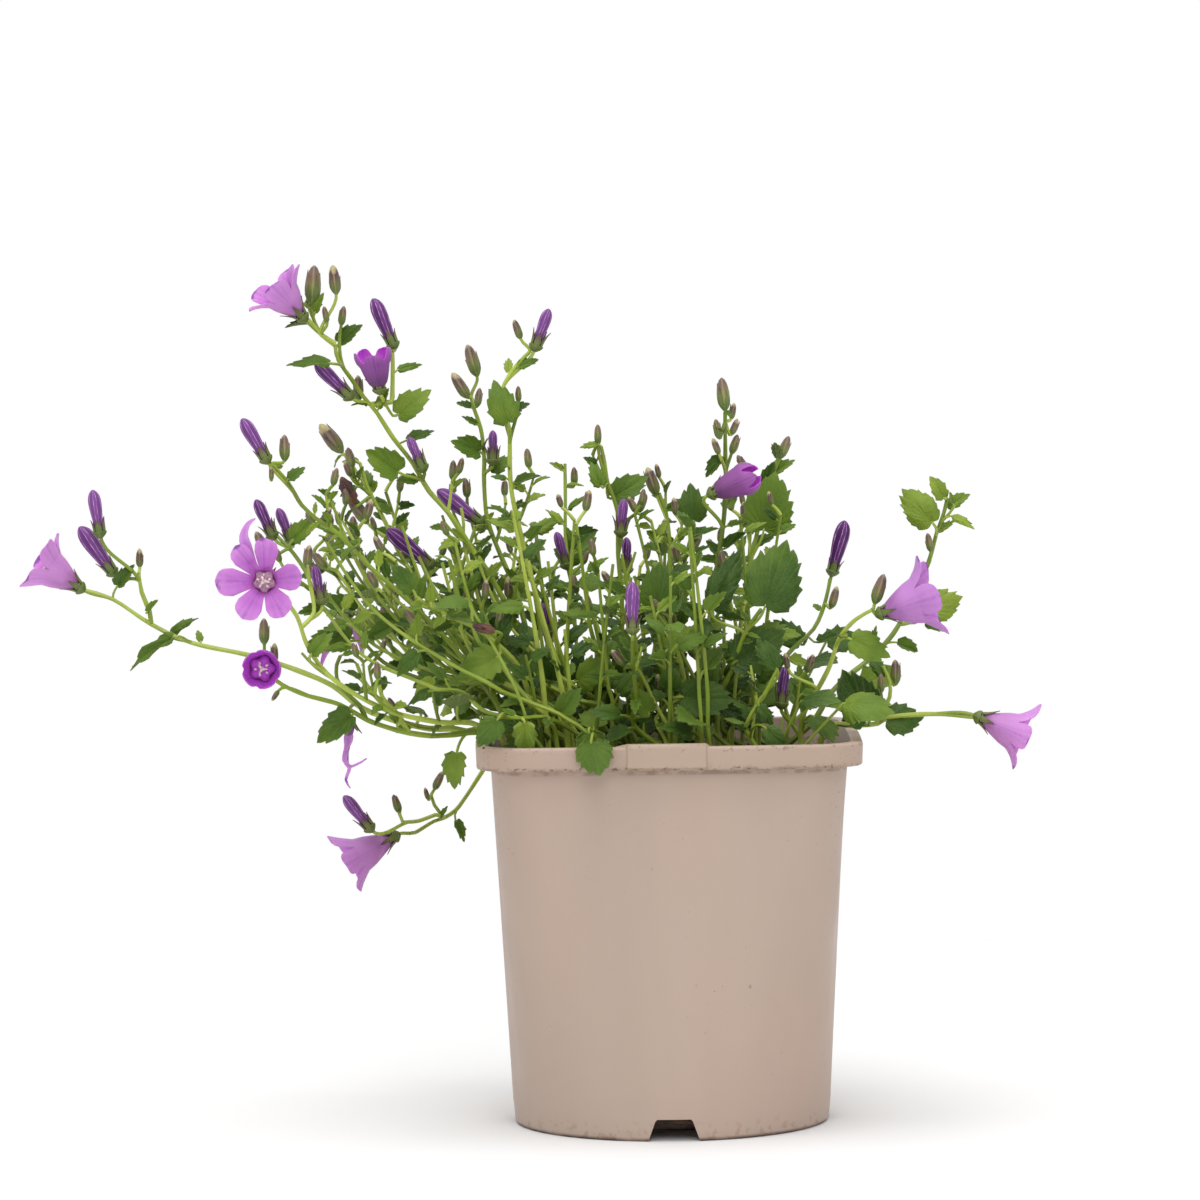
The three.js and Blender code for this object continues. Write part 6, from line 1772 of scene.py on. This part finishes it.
# %% The pot's profile
WALL, FLOOR_TOP, PAD, FOOT_RING, RIM_BAND = 1.4, 5.1, 27.0, 5.6, 7.0
TAB_PROUD, TAB_RISE, TAB_FROM = 0.5, 0.9, 123.2
rim_foot = POT_HEIGHT - RIM_BAND
RIM = ((116.9, 56.9), (117.1, 58.5), (117.2, 59.7), (117.5, 60.05), (118, 60.2), (120, 60.25), (122.5, 60.35),
       (123.6, 60.4), (124.1, 60.3), (124.4, 60.0), (124.5, 59.5), (124.5, 58.2), (124.45, 57.2),
       (124.2, 56.7), (123.6, 56.45), (121, 55.9))
rings = [disc_ring(z, radius) for z, radius in
         ((0, 0.5), (0, 14), (0, PAD - 0.5), (0.4, PAD), (FLOOR_TOP - WALL, PAD),
          (FLOOR_TOP - WALL, FOOT - FOOT_RING), (0.3, FOOT - FOOT_RING), (0, FOOT - FOOT_RING + 0.4))]
rings += [wall_ring(z, out) for z, out in ((0, -0.8), (0.25, -0.45), (0.7, -0.15))]
rings += [wall_ring(z, 0) for z in (1.4, 4, 7, 12, 24, 40, 56, 72, 88, 100, 110, 115.6, 116.4)]
rings += [pot_ring(z, 1, half, 0) for z, half in RIM]
rings += [wall_ring(z, -WALL) for z in (rim_foot, 110, 90, 60, 30, FLOOR_TOP + 0.4)]
rings += [disc_ring(z, radius) for z, radius in
          ((FLOOR_TOP, 47.6), (FLOOR_TOP, PAD - WALL + 0.3), (FLOOR_TOP - 0.4, PAD - WALL),
           (WALL, PAD - WALL), (WALL, 12), (WALL, 0.5))]
round_count = len(rings[0])


def with_tab(p):
    x, y, z = p
    if y > -57.8 or not TAB_LEFT - 0.02 <= x <= TAB_RIGHT + 0.02 or z < rim_foot + 0.4:
        return p
    return (x, y - TAB_PROUD if y < -60 else y, z + TAB_RISE * min(1, max(0, z - TAB_FROM)))


pot_gather = Gather()
pot_gather.add([with_tab(p) for ring in rings for p in ring],
               quads(len(rings), round_count, closed=True) + caps(len(rings), round_count), 0)
print("rings of the pot:", len(rings))

# %% [markdown]
# Each side of the foot has a notch that lets water out. We cut a prism with slanted corners out of the foot
# in each direction, with Blender's exact boolean, and smooth what is round again.

# %% Cut the notches and finish the pot
NOTCH = ((-8.5, -1), (8.5, -1), (5.9, 6.3), (5.3, 7), (-5.3, 7), (-5.9, 6.3))
SHARP_POT = 35


def cut_notches(piece):
    cutter_mesh = bpy.data.meshes.new("notch_cutter")
    points, faces = [], []
    for q in range(4):
        c, s = round(math.cos(q * math.pi / 2)), round(math.sin(q * math.pi / 2))
        start = len(points)
        for y in (-FOOT - 3, -FOOT + 16):
            for x, z in NOTCH:
                points.append(((x * c - y * s) * MM, (x * s + y * c) * MM, z * MM))
        faces += [[start + i for i in range(6)], [start + 11 - i for i in range(6)]]
        faces += [[start + i, start + 6 + i, start + 6 + (i + 1) % 6, start + (i + 1) % 6] for i in range(6)]
    cutter_mesh.from_pydata(points, [], faces)
    cutter = link_object("notch_cutter", cutter_mesh)
    cut = piece.modifiers.new("notches", "BOOLEAN")
    cut.operation, cut.solver, cut.object = "DIFFERENCE", "EXACT", cutter
    bpy.context.view_layer.update()
    shaped = bpy.data.meshes.new_from_object(piece.evaluated_get(bpy.context.evaluated_depsgraph_get()))
    piece.modifiers.clear()
    piece.data = shaped
    bpy.data.objects.remove(cutter)
    shaped.shade_smooth()
    shaped.set_sharp_from_angle(angle=math.radians(SHARP_POT))


pot = make_piece("pot_shell", pot_gather, [plastic.material], ["pot"], sharp=SHARP_POT)
cut_notches(pot)
print("pot faces:", len(pot.data.polygons))

# %% [markdown]
# ## The soil
# Peat fills the pot to a finger's width under the rim. Its body follows the wall, and its top is a field of
# small lumps: rings of points lifted by waves and a little chance.

# %% The body of the soil
soil_gather = Gather()
dig = np.random.default_rng(5)
soil_rings = [disc_ring(WALL + SEAT, 0.5), disc_ring(WALL + SEAT, PAD - WALL - SEAT),
              disc_ring(FLOOR_TOP + SEAT, PAD - WALL - SEAT), wall_ring(FLOOR_TOP + SEAT, -WALL - SEAT)]
soil_rings += [wall_ring(z, -WALL - SEAT) for z in (40, 80, 104, 109)]
for share in np.linspace(0.995, 0.02, 34):
    ring = []
    for x, y, _ in wall_ring(SOIL_TOP, -WALL - SEAT):
        x, y = x * share, y * share
        lump = (0.8 * math.sin(0.21 * x + 1.3) * math.cos(0.17 * y) + 0.5 * math.sin(0.5 * x - 0.4 * y)
                + 0.35 * math.sin(0.9 * y + 0.7 * x) + dig.uniform(-0.35, 0.35))
        ring.append((x, y, SOIL_TOP + 0.4 + lump * (0.4 if share > 0.97 else 1)))
    soil_rings.append(ring)
n = len(soil_rings[0])
soil_gather.add([p for ring in soil_rings for p in ring],
                quads(len(soil_rings), n, closed=True) + caps(len(soil_rings), n), 0,
                tone=dig.uniform(0, 1, n * len(soil_rings)))
print("rings of the soil:", len(soil_rings))

# %% [markdown]
# Loose crumbs lie on the soil, and a few on the rim. Each is a little ball of twenty triangles with its
# points pushed in and out.

# %% Crumbs
CRUMBS, MARGIN = 420, 52
ON_RIM = ((58.6, 31, 125.0, 1.5), (59.2, 28.5, 124.9, 1.0), (57.9, 33.5, 124.9, 0.9),
          (-57.6, -57.4, 124.7, 0.5), (22, -58.6, 124.8, 0.45), (24.5, -57.9, 124.8, 0.6))
golden = (1 + 5 ** 0.5) / 2
PAIRS = [(a, b) for a in (-1, 1) for b in (-golden, golden)]
BALL = np.array([(0, a, b) for a, b in PAIRS] + [(a, b, 0) for a, b in PAIRS] + [(b, 0, a) for a, b in PAIRS],
                dtype=float)
BALL /= np.linalg.norm(BALL[0])


def ball_faces():
    # The triangles of the twenty-sided ball: every three points that lie one edge apart.
    edge = min(np.linalg.norm(BALL[0] - p) for p in BALL[1:])
    faces = []
    for a, b, c in itertools.combinations(range(12), 3):
        if all(abs(np.linalg.norm(BALL[i] - BALL[j]) - edge) < 1e-6 for i, j in ((a, b), (b, c), (a, c))):
            out = np.dot(np.cross(BALL[b] - BALL[a], BALL[c] - BALL[a]), BALL[a]) > 0
            faces.append([a, b, c] if out else [a, c, b])
    return faces


BALL_FACES = ball_faces()


def crumb(at, radius):
    points = BALL * radius * dig.uniform(0.6, 1.2, (12, 1)) * np.array([1, dig.uniform(0.6, 1), 0.7])
    soil_gather.add(points + np.array(at), BALL_FACES, 0, tone=dig.uniform())


for _ in range(CRUMBS):
    x, y = dig.uniform(-MARGIN, MARGIN, 2)
    if math.hypot(max(abs(x) - 38, 0), max(abs(y) - 38, 0)) <= 13.5:
        crumb((x, y, SOIL_TOP + dig.uniform(0.4, 1.2)), dig.uniform(0.5, 1.9))
for *at, radius in ON_RIM:
    crumb(at, radius)
soil = make_piece("soil_body", soil_gather, [peat.material], ["soil"], sharp=60)
print("soil faces:", len(soil.data.polygons))

# %% [markdown]
# ## The plant
# Now every stem with all it carries becomes one mesh with five finishes, and every flower one of its own.

# %% Build the leafy stems
GREENS = [f.material for f in (stem_green, leaf_top, leaf_under, bud_green, cup_green, withered_brown)]
FEW_ROWS = np.array([0.04, 0.36, 0.7, 1.0])
TWIG_TIP, THIN_TIP = 0.42, 0.5
# How old, from 0 to 1, the large leaves of a stem are; most stems have the whole span.
ALL_AGES = (0.2, 0.75)
AGES = {"spray_upright_shoot": (0.6, 1.0), "spray_far_right": (0.1, 0.3), "spray_round_leaves": (0.12, 0.4)}


def build_stem(gather, route, first, last, tone):
    fine = smooth(route, 2.5)
    count = 7 if first < 0.9 else 10
    radii = np.linspace(first, last, len(fine)) * (1 + 0.06 * np.sin(np.arange(len(fine)) * 0.9 + tone * 9))
    round_form(gather, fine, radii, count, 0, tone, shape=ribs(around(count), 0.05))


def build_greens(gather, plant, twig_tip):
    for route, thick in plant["twigs"]:
        build_stem(gather, route, thick, twig_tip, chance.uniform())
    for leaf, way in plant["leaves"]:
        length = leaf["length"]
        teeth = 13 if length > LARGE else 9 if length > MIDDLE else 7 if length > 5.5 else 5
        # The span of a small leaf also holds its painted shade.
        age = leaf.get("age", AGES.get(plant["node"], ALL_AGES))
        build_leaf(gather, leaf, way, teeth, chance.uniform(*age), chance.uniform(-0.8, 1.6),
                   LEAF_ROWS if length > MIDDLE else FEW_ROWS, leaf.get("slim", 1.0))
    for way, foot, tip in plant["buds"]:
        build_bud(gather, way, foot, tip, chance.uniform())
    for way, foot, tip in plant.get("withered", ()):
        build_bud(gather, way, foot, tip, chance.uniform(), withered=True)


total = 0
for plant in plants:
    gather = Gather()
    for number, route in enumerate(plant["routes"]):
        thick = plant["spray"]["radius"] * (1 if number == 0 else SHOOT_SHARE)
        build_stem(gather, route, thick, PEDICEL, chance.uniform())
    build_greens(gather, plant, TWIG_TIP)
    for way, foot, axis, sepal, lean, closed in plant["cups"]:
        build_cup(gather, way, foot, axis, sepal, lean, chance.uniform(), closed)
    make_piece("greens_" + plant["spray"]["name"], gather, GREENS, [plant["node"]])
    total += gather.triangles()
for extra in (cushion, arching):
    gather = Gather()
    build_greens(gather, extra, THIN_TIP)
    make_piece("greens_" + extra["node"], gather, GREENS)
    total += gather.triangles()
    print("triangles in the", extra["node"], gather.triangles())
print("triangles in the greens:", total)

# %% [markdown]
# Each flower is built by its kind. A few are individuals: one hangs in shreds, the front one has six lobes of
# its own and a thin one behind them, one cup is closed further, and two bells are larger or turned.

# %% Build the flowers
PETALS = [f.material for f in (petal_out, petal_in, style_pale, petal_young, petal_cup, throat_hair)]
HANGING = [(1.2, [(-0.2, 0, -6), (-1.2, -0.5, -9.5)]),
           (0.65, [(-0.2, 0.4, -6.5), (-1.4, 0, -12), (0.1, 0, -14.5), (-1.1, -0.4, -18.3),
                   (0.3, -0.8, -20.9)]),
           (0.4, [(-0.6, 0.4, -8), (-0.4, 0.2, -13.8), (2.5, 0, -13.4), (5.6, 0, -11.6)])]
THIN_LOBE = ((-3, -10.5, 6), (-5, -11.5, 11), (-6, -11.5, 15), (-4.6, -11, 18.6), (-2.4, -10.6, 20.2))
SOFT = 70
YOUNG = dict(finishes=(3, 4))
SPECIAL = {"bloom_right_flower_1": dict(scale=1.25), "bloom_far_left_1": dict(turned=36),
           "open_bloom_front_flower_1": dict(lobes=FRONT_LOBES),
           "cup_bloom_spike_1": dict(finishes=(3, 4), closing=1.0)}

for plant in plants:
    for name, base, axis, length, openness in plant["corollas"]:
        gather, tone = Gather(), chance.uniform()
        if openness is None:
            build_violet_bud(gather, base, axis, length, tone, chance.uniform(0.15, 0.5))
            make_piece("petals_" + name, gather, [bud_violet.material], [name], sharp=SOFT)
        else:
            if name == "cup_bloom_cup_flower_2":
                build_wilted(gather, base, axis, 4.5, HANGING, tone)
            else:
                special = SPECIAL.get(name, YOUNG if openness < 0.5 else {})
                build_bell(gather, base, axis, length, openness, tone, **special)
            if openness == 1:
                build_strip(gather, [plus(base, o) for o in THIN_LOBE], 1.35, tone)
            make_piece("petals_" + name, gather, PETALS, [name], sharp=SOFT)
        total += gather.triangles()
gather = Gather()
build_wilted(gather, LIMP_FOOT, LIMP_AXIS, 4.0, LIMP_STRIPS, 0.4)
make_piece("petals_wilted", gather, PETALS, sharp=SOFT)
total += gather.triangles()
print("triangles in all plant pieces:", total)
